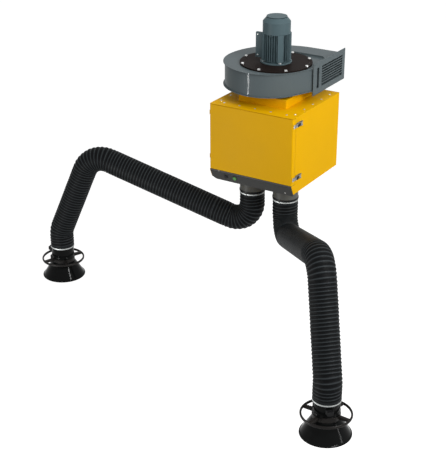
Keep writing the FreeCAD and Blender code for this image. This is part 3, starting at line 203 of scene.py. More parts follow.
def screw_tree():
    tree = bpy.data.node_groups.new("set_screws", "GeometryNodeTree")
    for label, kind in (("Geometry", "Geometry"), ("Head radius", "Float"), ("Head height", "Float"),
                        ("Corners", "Int"), ("Material", "Material")):
        tree.interface.new_socket(label, in_out="INPUT", socket_type="NodeSocket" + kind)
    tree.interface.new_socket("Geometry", in_out="OUTPUT", socket_type="NodeSocketGeometry")
    new, link = tree.nodes.new, tree.links.new
    given, result = new("NodeGroupInput"), new("NodeGroupOutput")
    washer = new("GeometryNodeMeshCylinder")
    washer.inputs["Vertices"].default_value = 20
    wide = new("ShaderNodeMath")
    wide.operation = "MULTIPLY"
    wide.inputs[1].default_value = WASHER_WIDTH
    link(given.outputs["Head radius"], wide.inputs[0])
    link(wide.outputs[0], washer.inputs["Radius"])
    thin = new("ShaderNodeMath")
    thin.operation = "MULTIPLY"
    thin.inputs[1].default_value = WASHER_HEIGHT
    link(given.outputs["Head height"], thin.inputs[0])
    link(thin.outputs[0], washer.inputs["Depth"])
    head = new("GeometryNodeMeshUVSphere")
    head.inputs["Rings"].default_value = 8
    link(given.outputs["Corners"], head.inputs["Segments"])
    head.inputs["Radius"].default_value = 1.0
    squat = new("GeometryNodeTransform")
    size = new("ShaderNodeCombineXYZ")
    for axis in ("X", "Y"):
        link(given.outputs["Head radius"], size.inputs[axis])
    link(given.outputs["Head height"], size.inputs["Z"])
    link(head.outputs["Mesh"], squat.inputs["Geometry"])
    link(size.outputs["Vector"], squat.inputs["Scale"])
    screw = new("GeometryNodeJoinGeometry")
    link(squat.outputs["Geometry"], screw.inputs["Geometry"])
    link(washer.outputs["Mesh"], screw.inputs["Geometry"])
    facing = new("GeometryNodeInputNamedAttribute")
    facing.data_type = "FLOAT_VECTOR"
    facing.inputs["Name"].default_value = "facing"
    turn = new("FunctionNodeAlignRotationToVector")
    turn.axis = "Z"
    link(facing.outputs["Attribute"], turn.inputs["Vector"])
    points = new("GeometryNodeMeshToPoints")
    link(given.outputs["Geometry"], points.inputs["Mesh"])
    spread = new("GeometryNodeInstanceOnPoints")
    link(points.outputs["Points"], spread.inputs["Points"])
    link(screw.outputs["Geometry"], spread.inputs["Instance"])
    link(turn.outputs["Rotation"], spread.inputs["Rotation"])
    real = new("GeometryNodeRealizeInstances")
    link(spread.outputs["Instances"], real.inputs["Geometry"])
    smooth = new("GeometryNodeSetShadeSmooth")
    link(real.outputs["Geometry"], smooth.inputs["Geometry"])
    finish = new("GeometryNodeSetMaterial")
    link(smooth.outputs["Geometry"], finish.inputs["Geometry"])
    link(given.outputs["Material"], finish.inputs["Material"])
    link(finish.outputs["Geometry"], result.inputs["Geometry"])
    return tree


screws = screw_tree()


def plain_mesh(piece):
    bpy.context.view_layer.update()
    return bpy.data.meshes.new_from_object(piece.evaluated_get(bpy.context.evaluated_depsgraph_get()))


def made_by(tree, name, mesh, values):
    maker = bpy.data.objects.new(name + "_maker", mesh)
    bpy.context.scene.collection.objects.link(maker)
    modifier = maker.modifiers.new("make", "NODES")
    modifier.node_group = tree
    for item in tree.interface.items_tree:
        if item.in_out == "INPUT" and item.name in values:
            modifier[item.identifier] = values[item.name]
    plain = plain_mesh(maker)
    bpy.data.objects.remove(maker)
    piece = bpy.data.objects.new(name, plain)
    bpy.context.scene.collection.objects.link(piece)
    return piece


def set_screws(name, spots, body, radius, height, material, slot, corners=16):
    mesh = bpy.data.meshes.new(name + "_spots")
    mesh.from_pydata([spot for spot, _ in spots], [], [])
    facing = mesh.attributes.new("facing", "FLOAT_VECTOR", "POINT")
    for index, (_, direction) in enumerate(spots):
        facing.data[index].vector = direction
    piece = made_by(screws, name, mesh, {"Head radius": radius, "Head height": height,
                                         "Corners": corners, "Material": material})
    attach(piece, body)


roof_low, roof_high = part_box("top_panel")
roof_spots = []
for step in range(SCREWS_A_ROW):
    along = roof_low.y + SIDE_ROW_START + step * SIDE_ROW_PITCH
    across = (step - (SCREWS_A_ROW - 1) / 2) * FRONT_ROW_PITCH
    for spot in ((across, roof_low.y + FRONT_ROW_INSET), (roof_low.x + SIDE_ROW_INSET, along),
                 (roof_high.x - SIDE_ROW_INSET, along)):
        roof_spots.append((Vector((spot[0], spot[1], roof_high.z)), Vector((0, 0, 1))))
set_screws("roof_screws", roof_spots, "cabinet", *ROOF_SCREW_HEAD, zinc, "zinc")

# Control strip: a folded box section under the door in dark grey satin coat, with a moulded bezel
# round each push button. A sheet apron lies on its slope, hangs a little below the cabinet and has
# one well rounded corner.
strip_coat = coat("strip_grey_coat", colour(75, 75, 74), colour(96, 96, 96), roughness=0.42,
                  peel_scale=1400.0, peel_height=0.0003, gloss=0.06)
dress(strip_coat, "control_strip")
STRIP_LIP = 0.008
STRIP_RECESS = 0.027
APRON_SHEET = 0.0015
APRON_GAP = 0.0002
APRON_START = 0.004
APRON_LENGTH = 0.077
APRON_SIDE = 0.0025
APRON_CORNERS = (0.006, 0.036)
BEZEL_RADIUS = 0.0169
BEZEL_POINTS = 32
strip_low, strip_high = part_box("control_strip")
strip_crease = Vector((0, strip_low.y, strip_high.z - STRIP_LIP))
strip_slope = (Vector((0, strip_low.y + STRIP_RECESS, strip_low.z)) - strip_crease).normalized()
strip_outward = Vector((0, strip_slope.z, -strip_slope.y))


def on_slope(across, down, proud=0.0):
    return strip_crease + Vector((across, 0, 0)) + strip_slope * down + strip_outward * proud


def round_corner(across, down, radius, first_angle, steps=12):
    turn = [math.radians(first_angle + 90.0 * step / steps) for step in range(steps + 1)]
    return [(across + radius * math.cos(angle), down + radius * math.sin(angle)) for angle in turn]


def finished(name, form, material, crease=38.0):
    mesh = bpy.data.meshes.new(name)
    bmesh.ops.recalc_face_normals(form, faces=form.faces)
    form.to_mesh(mesh)
    form.free()
    mesh.shade_smooth()
    mesh.set_sharp_from_angle(angle=math.radians(crease))
    mesh.materials.append(material)
    piece = bpy.data.objects.new(name, mesh)
    bpy.context.scene.collection.objects.link(piece)
    return piece


right_end, left_end = strip_high.x - APRON_SIDE, strip_low.x + APRON_SIDE
right_round, left_round = APRON_CORNERS
apron_edge = [(left_end, APRON_START), (right_end, APRON_START)]
apron_edge += round_corner(right_end - right_round, APRON_LENGTH - right_round, right_round, 0.0)
apron_edge += round_corner(left_end + left_round, APRON_LENGTH - left_round, left_round, 90.0)
apron_loops = [apron_edge]
for name in ("start_button", "stop_button"):
    low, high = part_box(name)
    centre = (low + high) / 2 - strip_crease
    around = [2 * math.pi * step / BEZEL_POINTS for step in range(BEZEL_POINTS)]
    apron_loops.append([(centre.x + BEZEL_RADIUS * math.cos(angle),
                         centre.dot(strip_slope) + BEZEL_RADIUS * math.sin(angle)) for angle in around])
form = bmesh.new()
apron_rims = []
for loop in apron_loops:
    rim = [form.verts.new(on_slope(across, down, APRON_GAP)) for across, down in loop]
    apron_rims += [form.edges.new((rim[step], rim[(step + 1) % len(rim)])) for step in range(len(rim))]
bmesh.ops.triangle_fill(form, use_beauty=True, use_dissolve=False, edges=apron_rims)
apron_back = form.faces[:]
raised = {vertex: form.verts.new(vertex.co + strip_outward * APRON_SHEET) for vertex in form.verts[:]}
for face in apron_back:
    form.faces.new([raised[vertex] for vertex in face.verts])
for edge in apron_rims:
    along = edge.link_loops[0]
    start, end = along.vert, along.link_loop_next.vert
    form.faces.new((start, end, raised[end], raised[start]))
apron = finished("strip_apron", form, strip_coat)
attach(apron, "cabinet")

# Push buttons: glossy moulded caps, green to start and dark to stop, with a fine moulded grain and
# a faint haze in patches. Two small pale caps of plastic sit in the strip beside them.
def moulded_plastic():
    group = bpy.data.node_groups.new("moulded_skin", "ShaderNodeTree")
    for label, kind in (("Plastic", "Color"), ("Haze", "Color"), ("Roughness", "Float"),
                        ("Grain scale", "Float"), ("Grain height", "Float")):
        group.interface.new_socket(label, in_out="INPUT", socket_type="NodeSocket" + kind)
    for label, kind in (("Colour", "Color"), ("Roughness", "Float"), ("Normal", "Vector")):
        group.interface.new_socket(label, in_out="OUTPUT", socket_type="NodeSocket" + kind)
    new, link = group.nodes.new, group.links.new
    given, result = new("NodeGroupInput"), new("NodeGroupOutput")
    place = new("ShaderNodeTexCoord")
    grain = new("ShaderNodeTexVoronoi")
    link(place.outputs["Object"], grain.inputs["Vector"])
    link(given.outputs["Grain scale"], grain.inputs["Scale"])
    round_edge = new("ShaderNodeBevel")
    round_edge.samples = 4
    round_edge.inputs["Radius"].default_value = 0.0015
    bump = new("ShaderNodeBump")
    bump.inputs["Strength"].default_value = 0.3
    link(given.outputs["Grain height"], bump.inputs["Distance"])
    link(grain.outputs["Distance"], bump.inputs["Height"])
    link(round_edge.outputs["Normal"], bump.inputs["Normal"])
    link(bump.outputs["Normal"], result.inputs["Normal"])
    smear = new("ShaderNodeTexNoise")
    smear.inputs["Scale"].default_value = 9.0
    smear.inputs["Detail"].default_value = 5.0
    smear.inputs["Distortion"].default_value = 0.6
    link(place.outputs["Object"], smear.inputs["Vector"])
    dust = new("ShaderNodeMapRange")
    dust.inputs["From Min"].default_value = 0.45
    dust.inputs["From Max"].default_value = 0.8
    dust.inputs["To Max"].default_value = 0.5
    link(smear.outputs["Fac"], dust.inputs["Value"])
    mix = new("ShaderNodeMix")
    mix.data_type = "RGBA"
    link(dust.outputs["Result"], mix.inputs["Factor"])
    link(given.outputs["Plastic"], mix.inputs[6])
    link(given.outputs["Haze"], mix.inputs[7])
    link(mix.outputs[2], result.inputs["Colour"])
    spread = new("ShaderNodeMath")
    spread.operation = "MULTIPLY_ADD"
    spread.inputs[1].default_value = 0.22
    link(dust.outputs["Result"], spread.inputs[0])
    link(given.outputs["Roughness"], spread.inputs[2])
    link(spread.outputs[0], result.inputs["Roughness"])
    return group


skin_group = moulded_plastic()


def plastic(name, base, haze, roughness, grain_scale=1500.0, grain_height=0.0002, gloss=0.5):
    material, tree, shader = surface(name)
    skin = tree.nodes.new("ShaderNodeGroup")
    skin.node_tree = skin_group
    skin.inputs["Plastic"].default_value = base
    skin.inputs["Haze"].default_value = haze
    skin.inputs["Roughness"].default_value = roughness
    skin.inputs["Grain scale"].default_value = grain_scale
    skin.inputs["Grain height"].default_value = grain_height
    tree.links.new(skin.outputs["Colour"], shader.inputs["Base Color"])
    tree.links.new(skin.outputs["Roughness"], shader.inputs["Roughness"])
    tree.links.new(skin.outputs["Normal"], shader.inputs["Normal"])
    shader.inputs["Specular IOR Level"].default_value = gloss
    return material


dress(plastic("green_button", colour(58, 140, 34), colour(96, 170, 62), roughness=0.22), "start_button")
dark_plastic = plastic("dark_plastic", colour(25, 25, 26), colour(40, 41, 42), roughness=0.38, gloss=0.1)
dress(dark_plastic, "stop_button")
pale_plastic = plastic("pale_cap", colour(206, 206, 200), colour(232, 232, 228), roughness=0.4)
LEFT_CAP = Vector((-0.232, 0.0015, -0.005))
LEFT_CAP_FACING = Vector((0, -0.94, -0.34))
RIGHT_CAP = (0.242, 0.060)
CAP_HEAD = (0.0042, 0.002)
cap_spots = [(Vector((0, strip_low.y, strip_high.z)) + LEFT_CAP, LEFT_CAP_FACING),
             (on_slope(*RIGHT_CAP, APRON_SHEET), strip_outward)]
set_screws("strip_caps", cap_spots, "cabinet", *CAP_HEAD, pale_plastic, "black_plastic")

# Door seal, hinges and filter: black rubber profile, zinc pins and a fleece cartridge. Seal and
# cartridge show when the door stands open.
def mottled(name, dark, light, scale, detail, roughness, nap=0.0):
    material, tree, shader = surface(name)
    new, link = tree.nodes.new, tree.links.new
    place = new("ShaderNodeTexCoord")
    mottle = new("ShaderNodeTexNoise")
    mottle.inputs["Scale"].default_value = scale
    mottle.inputs["Detail"].default_value = detail
    link(place.outputs["Object"], mottle.inputs["Vector"])
    tint = new("ShaderNodeValToRGB")
    tint.color_ramp.elements[0].color = dark
    tint.color_ramp.elements[1].color = light
    link(mottle.outputs["Fac"], tint.inputs["Fac"])
    link(tint.outputs["Color"], shader.inputs["Base Color"])
    shader.inputs["Roughness"].default_value = roughness
    if nap:
        bump = new("ShaderNodeBump")
        bump.inputs["Distance"].default_value = nap
        link(mottle.outputs["Fac"], bump.inputs["Height"])
        link(bump.outputs["Normal"], shader.inputs["Normal"])
    return material


rubber = mottled("seal_rubber", colour(18, 18, 18), colour(40, 40, 41), scale=40.0, detail=2.0,
                 roughness=0.75)
dress(rubber, "door_gasket")
dress(zinc, "hinge_pins")
fleece = mottled("filter_fleece", colour(188, 184, 170), colour(234, 231, 220), scale=260.0, detail=8.0,
                 roughness=0.95, nap=0.001)
dress(fleece, "filter_cartridge")

# Latches: stamped grey lever and base plate on the right side, with a black moulded grip set into
# the middle of each lever.
latch_steel = plated_steel("latch_steel", colour(146, 148, 148), roughness=0.48, scratch_scale=90.0)
dress(latch_steel, "latch_bases", "upper_latch", "lower_latch")
GRIP_PROUD = 0.0035
GRIP_LENGTH = 0.030
GRIP_HEIGHT = 0.0175
GRIP_SEAT = 0.0008
GRIP_ROUND = 0.0014
GRIP_PLACE = 0.55
EDGE_STEPS = 3
EDGE_PROFILE = 0.6


def rounded_block(name, low, high, radius):
    mesh = bpy.data.meshes.new(name)
    form = bmesh.new()
    bmesh.ops.create_cube(form, size=1.0)
    for vertex in form.verts:
        share = [at + 0.5 for at in vertex.co]
        vertex.co = Vector([low[axis] + share[axis] * (high[axis] - low[axis]) for axis in range(3)])
    bmesh.ops.bevel(form, geom=form.edges[:], offset=radius, segments=EDGE_STEPS, profile=EDGE_PROFILE,
                    affect="EDGES")
    bmesh.ops.recalc_face_normals(form, faces=form.faces)
    form.to_mesh(mesh)
    form.free()
    mesh.shade_smooth()
    piece = bpy.data.objects.new(name, mesh)
    bpy.context.scene.collection.objects.link(piece)
    return piece


for name in ("upper_latch", "lower_latch"):
    low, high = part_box(name)
    middle_y = low.y + GRIP_PLACE * (high.y - low.y)
    middle_z = (low.z + high.z) / 2
    pad = rounded_block(name + "_grip",
                        (high.x - GRIP_SEAT, middle_y - GRIP_LENGTH / 2, middle_z - GRIP_HEIGHT / 2),
                        (high.x + GRIP_PROUD, middle_y + GRIP_LENGTH / 2, middle_z + GRIP_HEIGHT / 2),
                        GRIP_ROUND)
    pad.data.materials.append(dark_plastic)
    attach(pad, name)

# Fan casing: welded steel scroll, top plate and outlet plate in a blue-grey satin coat, sprayed
# after welding, so the coat runs over the seams.
casing_coat = coat("casing_grey_coat", colour(93, 103, 106), colour(114, 125, 128), roughness=0.44,
                   peel_scale=700.0, peel_height=0.0002, coat_weight=0.1, gloss=0.03)
dress(casing_coat, "fan_scroll", "fan_top_plate", "outlet_grille")

# Scroll cover: a sheet runs straight from the round wrapper to the outlet plate and shuts the corner
# in front of the scroll's tongue, with a top and a bottom sheet that stand out as the casing's do.
WRAPPER_RADIUS = 0.2415
WRAPPER_OFFSET = 0.0355
CASING_SHEET = 0.003
CASING_RIM = 0.010
OUTLET_PLATE = 0.005
OUTLET_RIM = 0.028
TONGUE_DEPTH = 0.040
TONGUE_REACH = 0.060
RIM_OVERLAP = 0.030
RIM_SETBACK = 0.001
SHEET_STEP = 0.0002
flange_low, flange_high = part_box("motor_flange")
outlet_low, outlet_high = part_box("outlet_grille")
wrapper_axis = (flange_low + flange_high) / 2 - Vector((WRAPPER_OFFSET, WRAPPER_OFFSET, 0))
outlet_x = outlet_high.x - OUTLET_PLATE
rim_end = Vector((outlet_x, outlet_low.y + RIM_SETBACK))
to_rim_end = rim_end - wrapper_axis.xy
rim_turn = math.acos((WRAPPER_RADIUS + CASING_RIM) / to_rim_end.length)
leaving = math.atan2(to_rim_end.y, to_rim_end.x) - rim_turn
sheet_normal = Vector((math.cos(leaving), math.sin(leaving)))
sheet_run = Vector((-sheet_normal.y, sheet_normal.x))
casing_low, casing_high = outlet_low.z + OUTLET_RIM, outlet_high.z - OUTLET_RIM


def upright_prism(form, corners, low, high):
    under = [form.verts.new((corner.x, corner.y, low)) for corner in corners]
    over = [form.verts.new((corner.x, corner.y, high)) for corner in corners]
    form.faces.new(list(reversed(under)))
    form.faces.new(over)
    for step in range(len(corners)):
        on = (step + 1) % len(corners)
        form.faces.new((under[step], under[on], over[on], over[step]))


sheet_start = wrapper_axis.xy + sheet_normal * WRAPPER_RADIUS
sheet_end = sheet_start + sheet_run * ((outlet_x - sheet_start.x) / sheet_run.x)
inward = sheet_normal * -CASING_SHEET
rim_start = wrapper_axis.xy + sheet_normal * (WRAPPER_RADIUS + CASING_RIM)
rim_outline = [rim_start, rim_end, rim_end + Vector((0, TONGUE_DEPTH)),
               rim_end + Vector((-TONGUE_REACH, TONGUE_DEPTH)), rim_start - sheet_normal * RIM_OVERLAP]
form = bmesh.new()
upright_prism(form, [sheet_start, sheet_end, sheet_end + inward, sheet_start + inward],
              casing_low + SHEET_STEP, casing_high - SHEET_STEP)
for low in (casing_low + SHEET_STEP, casing_high - CASING_SHEET + SHEET_STEP):
    upright_prism(form, rim_outline, low, low + CASING_SHEET - 2 * SHEET_STEP)
scroll_cover = finished("scroll_cover", form, casing_coat)
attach(scroll_cover, "cabinet")

# Motor plate and bolts: a thick round steel plate in a dark coat, tinted brown as a painted warm
# reflection, carries the motor on top of the casing. Bright hexagon bolts hold it down.
plate_coat = coat("plate_dark_coat", colour(36, 30, 28), colour(54, 48, 46), roughness=0.45,
                  peel_scale=1000.0, peel_height=0.0003, gloss=0.01)
dress(plate_coat, "motor_plate")
bolt_zinc = plated_steel("bolt_zinc", colour(244, 245, 244), roughness=0.5, scratch_scale=60.0)
dress(bolt_zinc, "casing_bolts")

# Motor: cast stator with fins, flange, pressed cowl and terminal box, all in one blue-grey enamel.
# Two screws hold the lid of the terminal box.
motor_coat = coat("motor_enamel", colour(85, 103, 108), colour(110, 130, 136), roughness=0.42,
                  peel_scale=420.0, peel_height=0.0005, gloss=0.05)
dress(motor_coat, "motor_stator", "motor_flange", "motor_cowl", "terminal_box")
box_low, box_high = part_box("terminal_box")
LID_SCREW_INSET = 0.014
LID_SCREW_HEAD = (0.0036, 0.0024)
lid_spots = []
for height in (box_low.z + LID_SCREW_INSET, box_high.z - LID_SCREW_INSET):
    lid_spots.append((Vector((box_low.x + LID_SCREW_INSET, box_low.y, height)), Vector((0, -1, 0))))
set_screws("terminal_lid_screws", lid_spots, "cabinet", *LID_SCREW_HEAD, zinc, "zinc")

# Rotor: a cast aluminium wheel with backward-curved blades on a steel shaft, and a small moulded fan
# under the cowl. It turns inside the casing, out of sight.
wheel_metal = plated_steel("wheel_aluminium", colour(150, 152, 154), roughness=0.45, scratch_scale=30.0)
dress(wheel_metal, "impeller")
dress(zinc, "motor_shaft")
dress(dark_plastic, "cooling_fan")

# Inlet collars and swivels: grey coated tubes under the floor, and a black moulded ring that turns
# in each of them.
collar_coat = coat("collar_grey_coat", colour(97, 98, 95), colour(116, 117, 114), roughness=0.42,
                   peel_scale=1100.0, peel_height=0.0003, gloss=0.08)
dress(collar_coat, "inlet_collars")
dress(dark_plastic, "left_swivel_ring", "right_swivel_ring")

# Hoses: black coated fabric over a steel wire helix, with plain cuffs under the clamps. The cloth
# sinks in between the wires and is drawn tight along the upper arm, where the ribs are shallow. Neck,
# elbow and wrist are lengths of their own, and the neck bends tightest.
HOSE_RADIUS = 0.0845
RIB_PITCH = 0.0215
RIB_DEPTH = 0.0036
RIB_SHARPNESS = 2.4
SLACK_DEPTH = 0.003
CLOTH_WALL = 0.0022
BEND_RADII = (0.120, 0.1575, 0.1575)
TIGHT_FADE = 0.04
TIGHT_SHARE = 0.8
CUFF = 0.026
CUFF_FADE = 0.012
CUFF_LEVEL = 0.62
HOSE_TOP = -0.3875
COLLAR_Y = -0.536
SHOULDER_Z = -0.650
UPPER_REACH = 1.2295
LOWER_REACH = 0.685
HOOD_DROP = 0.129
# For each arm: place of its collar in X, heading in plan, rise of the upper and fall of the lower run
ARMS = {"left": (-0.125, 191.9, 17.5, 66.7), "right": (0.125, -51.5, 18.7, 64.5)}


def hose_cloth():
    material, tree, shader = surface("hose_cloth")
    new, link = tree.nodes.new, tree.links.new
    place = new("ShaderNodeTexCoord")
    weave = new("ShaderNodeTexVoronoi")
    weave.inputs["Scale"].default_value = 620.0
    link(place.outputs["Object"], weave.inputs["Vector"])
    crease = new("ShaderNodeTexNoise")
    crease.inputs["Scale"].default_value = 70.0
    crease.inputs["Detail"].default_value = 6.0
    link(place.outputs["Object"], crease.inputs["Vector"])
    # Painted shade and highlight: the cloth is painted near black in the valleys between the wires, where
    # shade falls, and lighter on the crests as a painted highlight.
    rib = new("ShaderNodeAttribute")
    rib.attribute_name = "rib"
    tint = new("ShaderNodeValToRGB")
    tint.color_ramp.elements[0].color = colour(13, 14, 15)
    tint.color_ramp.elements[1].color = colour(60, 65, 67)
    middle = tint.color_ramp.elements.new(0.55)
    middle.color = colour(25, 27, 29)
    link(rib.outputs["Fac"], tint.inputs["Fac"])
    dusty = new("ShaderNodeMix")
    dusty.data_type = "RGBA"
    faint = new("ShaderNodeMapRange")
    faint.inputs["From Min"].default_value = 0.5
    faint.inputs["From Max"].default_value = 0.85
    faint.inputs["To Max"].default_value = 0.3
    link(crease.outputs["Fac"], faint.inputs["Value"])
    link(faint.outputs["Result"], dusty.inputs["Factor"])
    link(tint.outputs["Color"], dusty.inputs[6])
    dusty.inputs[7].default_value = colour(37, 41, 43)
    link(dusty.outputs[2], shader.inputs["Base Color"])
    low_bump = new("ShaderNodeBump")
    low_bump.inputs["Strength"].default_value = 0.5
    low_bump.inputs["Distance"].default_value = 0.0007
    link(crease.outputs["Fac"], low_bump.inputs["Height"])
    fine_bump = new("ShaderNodeBump")
    fine_bump.inputs["Strength"].default_value = 0.4
    fine_bump.inputs["Distance"].default_value = 0.0002
    link(weave.outputs["Distance"], fine_bump.inputs["Height"])
    link(low_bump.outputs["Normal"], fine_bump.inputs["Normal"])
    link(fine_bump.outputs["Normal"], shader.inputs["Normal"])
    sheen = new("ShaderNodeMapRange")
    sheen.inputs["To Min"].default_value = 0.6
    sheen.inputs["To Max"].default_value = 0.42
    link(rib.outputs["Fac"], sheen.inputs["Value"])
    link(sheen.outputs["Result"], shader.inputs["Roughness"])
    shader.inputs["Specular IOR Level"].default_value = 0.04
    return material


def hose_tree():
    tree = bpy.data.node_groups.new("ribbed_hose", "GeometryNodeTree")
    for label, kind in (("Geometry", "Geometry"), ("Hose radius", "Float"), ("Rib pitch", "Float"),
                        ("Rib depth", "Float"), ("Length", "Float"), ("Cuff", "Float"), ("From", "Float"),
                        ("To", "Float"), ("Tight from", "Float"), ("Tight to", "Float"),
                        ("Tight share", "Float"), ("Tight fade", "Float"), ("Material", "Material")):
        tree.interface.new_socket(label, in_out="INPUT", socket_type="NodeSocket" + kind)
    tree.interface.new_socket("Geometry", in_out="OUTPUT", socket_type="NodeSocketGeometry")
    new, link = tree.nodes.new, tree.links.new
    given, result = new("NodeGroupInput"), new("NodeGroupOutput")

    def reckon(operation, *terms):
        node = new("ShaderNodeMath")
        node.operation = operation
        for socket, term in zip(node.inputs, terms):
            if isinstance(term, (int, float)):
                socket.default_value = term
            else:
                link(term, socket)
        return node.outputs[0]

    def remember(geometry, name, value):
        node = new("GeometryNodeStoreNamedAttribute")
        node.data_type = "FLOAT"
        node.domain = "POINT"
        node.inputs["Name"].default_value = name
        link(geometry, node.inputs["Geometry"])
        link(value, node.inputs["Value"])
        return node.outputs["Geometry"]

    def recall(name):
        node = new("GeometryNodeInputNamedAttribute")
        node.data_type = "FLOAT"
        node.inputs["Name"].default_value = name
        return node.outputs["Attribute"]

    line = new("GeometryNodeMeshToCurve")
    link(given.outputs["Geometry"], line.inputs["Mesh"])
    bends = new("GeometryNodeFilletCurve")
    bends.mode = "POLY"
    bends.inputs["Count"].default_value = 48
    link(line.outputs["Curve"], bends.inputs["Curve"])
    link(recall("bend"), bends.inputs["Radius"])
    even = new("GeometryNodeResampleCurve")
    even.mode = "LENGTH"
    even.inputs["Length"].default_value = 0.0027
    link(bends.outputs["Curve"], even.inputs["Curve"])
    along = new("GeometryNodeSplineParameter")
    marked = remember(even.outputs["Curve"], "along", along.outputs["Length"])
    cut = new("GeometryNodeTrimCurve")
    cut.mode = "LENGTH"
    link(marked, cut.inputs["Curve"])
    link(given.outputs["From"], cut.inputs[4])
    link(given.outputs["To"], cut.inputs[5])
    circle = new("GeometryNodeCurvePrimitiveCircle")
    circle.inputs["Resolution"].default_value = 60
    link(given.outputs["Hose radius"], circle.inputs["Radius"])
    round_share = new("GeometryNodeSplineParameter")
    ring = remember(circle.outputs["Curve"], "around", round_share.outputs["Factor"])
    tube = new("GeometryNodeCurveToMesh")
    link(cut.outputs["Curve"], tube.inputs["Curve"])
    link(ring, tube.inputs["Profile Curve"])
    wound = reckon("DIVIDE", recall("along"), given.outputs["Rib pitch"])
    turns = reckon("SUBTRACT", wound, recall("around"))
    wave = reckon("MULTIPLY_ADD", reckon("COSINE", reckon("MULTIPLY", turns, 2 * math.pi)), 0.5, 0.5)
    crest = reckon("POWER", wave, RIB_SHARPNESS)
    ends = []
    for distance in (recall("along"), reckon("SUBTRACT", given.outputs["Length"], recall("along"))):
        fade = new("ShaderNodeMapRange")
        fade.interpolation_type = "SMOOTHSTEP"
        link(distance, fade.inputs["Value"])
        link(given.outputs["Cuff"], fade.inputs["From Min"])
        link(reckon("ADD", given.outputs["Cuff"], CUFF_FADE), fade.inputs["From Max"])
        ends.append(fade.outputs["Result"])
    ribbed = reckon("MULTIPLY", ends[0], ends[1])
    height = reckon("MULTIPLY_ADD", reckon("SUBTRACT", crest, CUFF_LEVEL), ribbed, CUFF_LEVEL)
    sink = reckon("MULTIPLY", reckon("SUBTRACT", height, 1.0), given.outputs["Rib depth"])
    slack = new("ShaderNodeTexNoise")
    slack.inputs["Scale"].default_value = 11.0
    slack.inputs["Detail"].default_value = 2.0
    spot = new("GeometryNodeInputPosition")
    link(spot.outputs["Position"], slack.inputs["Vector"])
    swing = reckon("SUBTRACT", slack.outputs["Fac"], 0.5)
    droop = reckon("MULTIPLY", swing, reckon("MULTIPLY", ribbed, SLACK_DEPTH))
    offset = new("ShaderNodeVectorMath")
    offset.operation = "SCALE"
    outward = new("GeometryNodeInputNormal")
    link(outward.outputs["Normal"], offset.inputs[0])
    tight = []
    for start, end in ((recall("along"), given.outputs["Tight from"]),
                       (given.outputs["Tight to"], recall("along"))):
        rise = new("ShaderNodeMapRange")
        rise.interpolation_type = "SMOOTHSTEP"
        link(reckon("SUBTRACT", start, end), rise.inputs["Value"])
        link(given.outputs["Tight fade"], rise.inputs["From Max"])
        tight.append(rise.outputs["Result"])
    drawn = reckon("MULTIPLY", reckon("MULTIPLY", tight[0], tight[1]), given.outputs["Tight share"])
    relief = reckon("MULTIPLY", reckon("ADD", sink, droop), reckon("SUBTRACT", 1.0, drawn))
    link(relief, offset.inputs["Scale"])
    shaped = new("GeometryNodeSetPosition")
    link(remember(tube.outputs["Mesh"], "rib", height), shaped.inputs["Geometry"])
    link(offset.outputs["Vector"], shaped.inputs["Offset"])
    real = new("GeometryNodeRealizeInstances")
    link(shaped.outputs["Geometry"], real.inputs["Geometry"])
    smooth = new("GeometryNodeSetShadeSmooth")
    link(real.outputs["Geometry"], smooth.inputs["Geometry"])
    finish = new("GeometryNodeSetMaterial")
    link(smooth.outputs["Geometry"], finish.inputs["Geometry"])
    link(given.outputs["Material"], finish.inputs["Material"])
    link(finish.outputs["Geometry"], result.inputs["Geometry"])
    return tree


def arm_corners(arm):
    collar_x, heading, rise, fall = ARMS[arm]
    heading, rise, fall = (math.radians(angle) for angle in (heading, rise, fall))
    out = Vector((math.cos(heading), math.sin(heading), 0))
    up = Vector((0, 0, 1))
    shoulder = Vector((collar_x, COLLAR_Y, SHOULDER_Z))
    elbow = shoulder + (out * math.cos(rise) + up * math.sin(rise)) * UPPER_REACH
    wrist = elbow + (out * math.cos(fall) - up * math.sin(fall)) * LOWER_REACH
    return [Vector((collar_x, COLLAR_Y, HOSE_TOP)), shoulder, elbow, wrist, wrist - up * HOOD_DROP]


def corner_bend(before, corner, after, radius):
    back, on = (before - corner).normalized(), (after - corner).normalized()
    half = back.angle(on) / 2
    reach = radius / math.tan(half)
    inward = (back + on).normalized()
    middle = corner + inward * (radius / math.sin(half) - radius)
    return {"reach": reach, "arc": radius * (math.pi - 2 * half), "middle": middle,
            "chord": (on - back).normalized()}


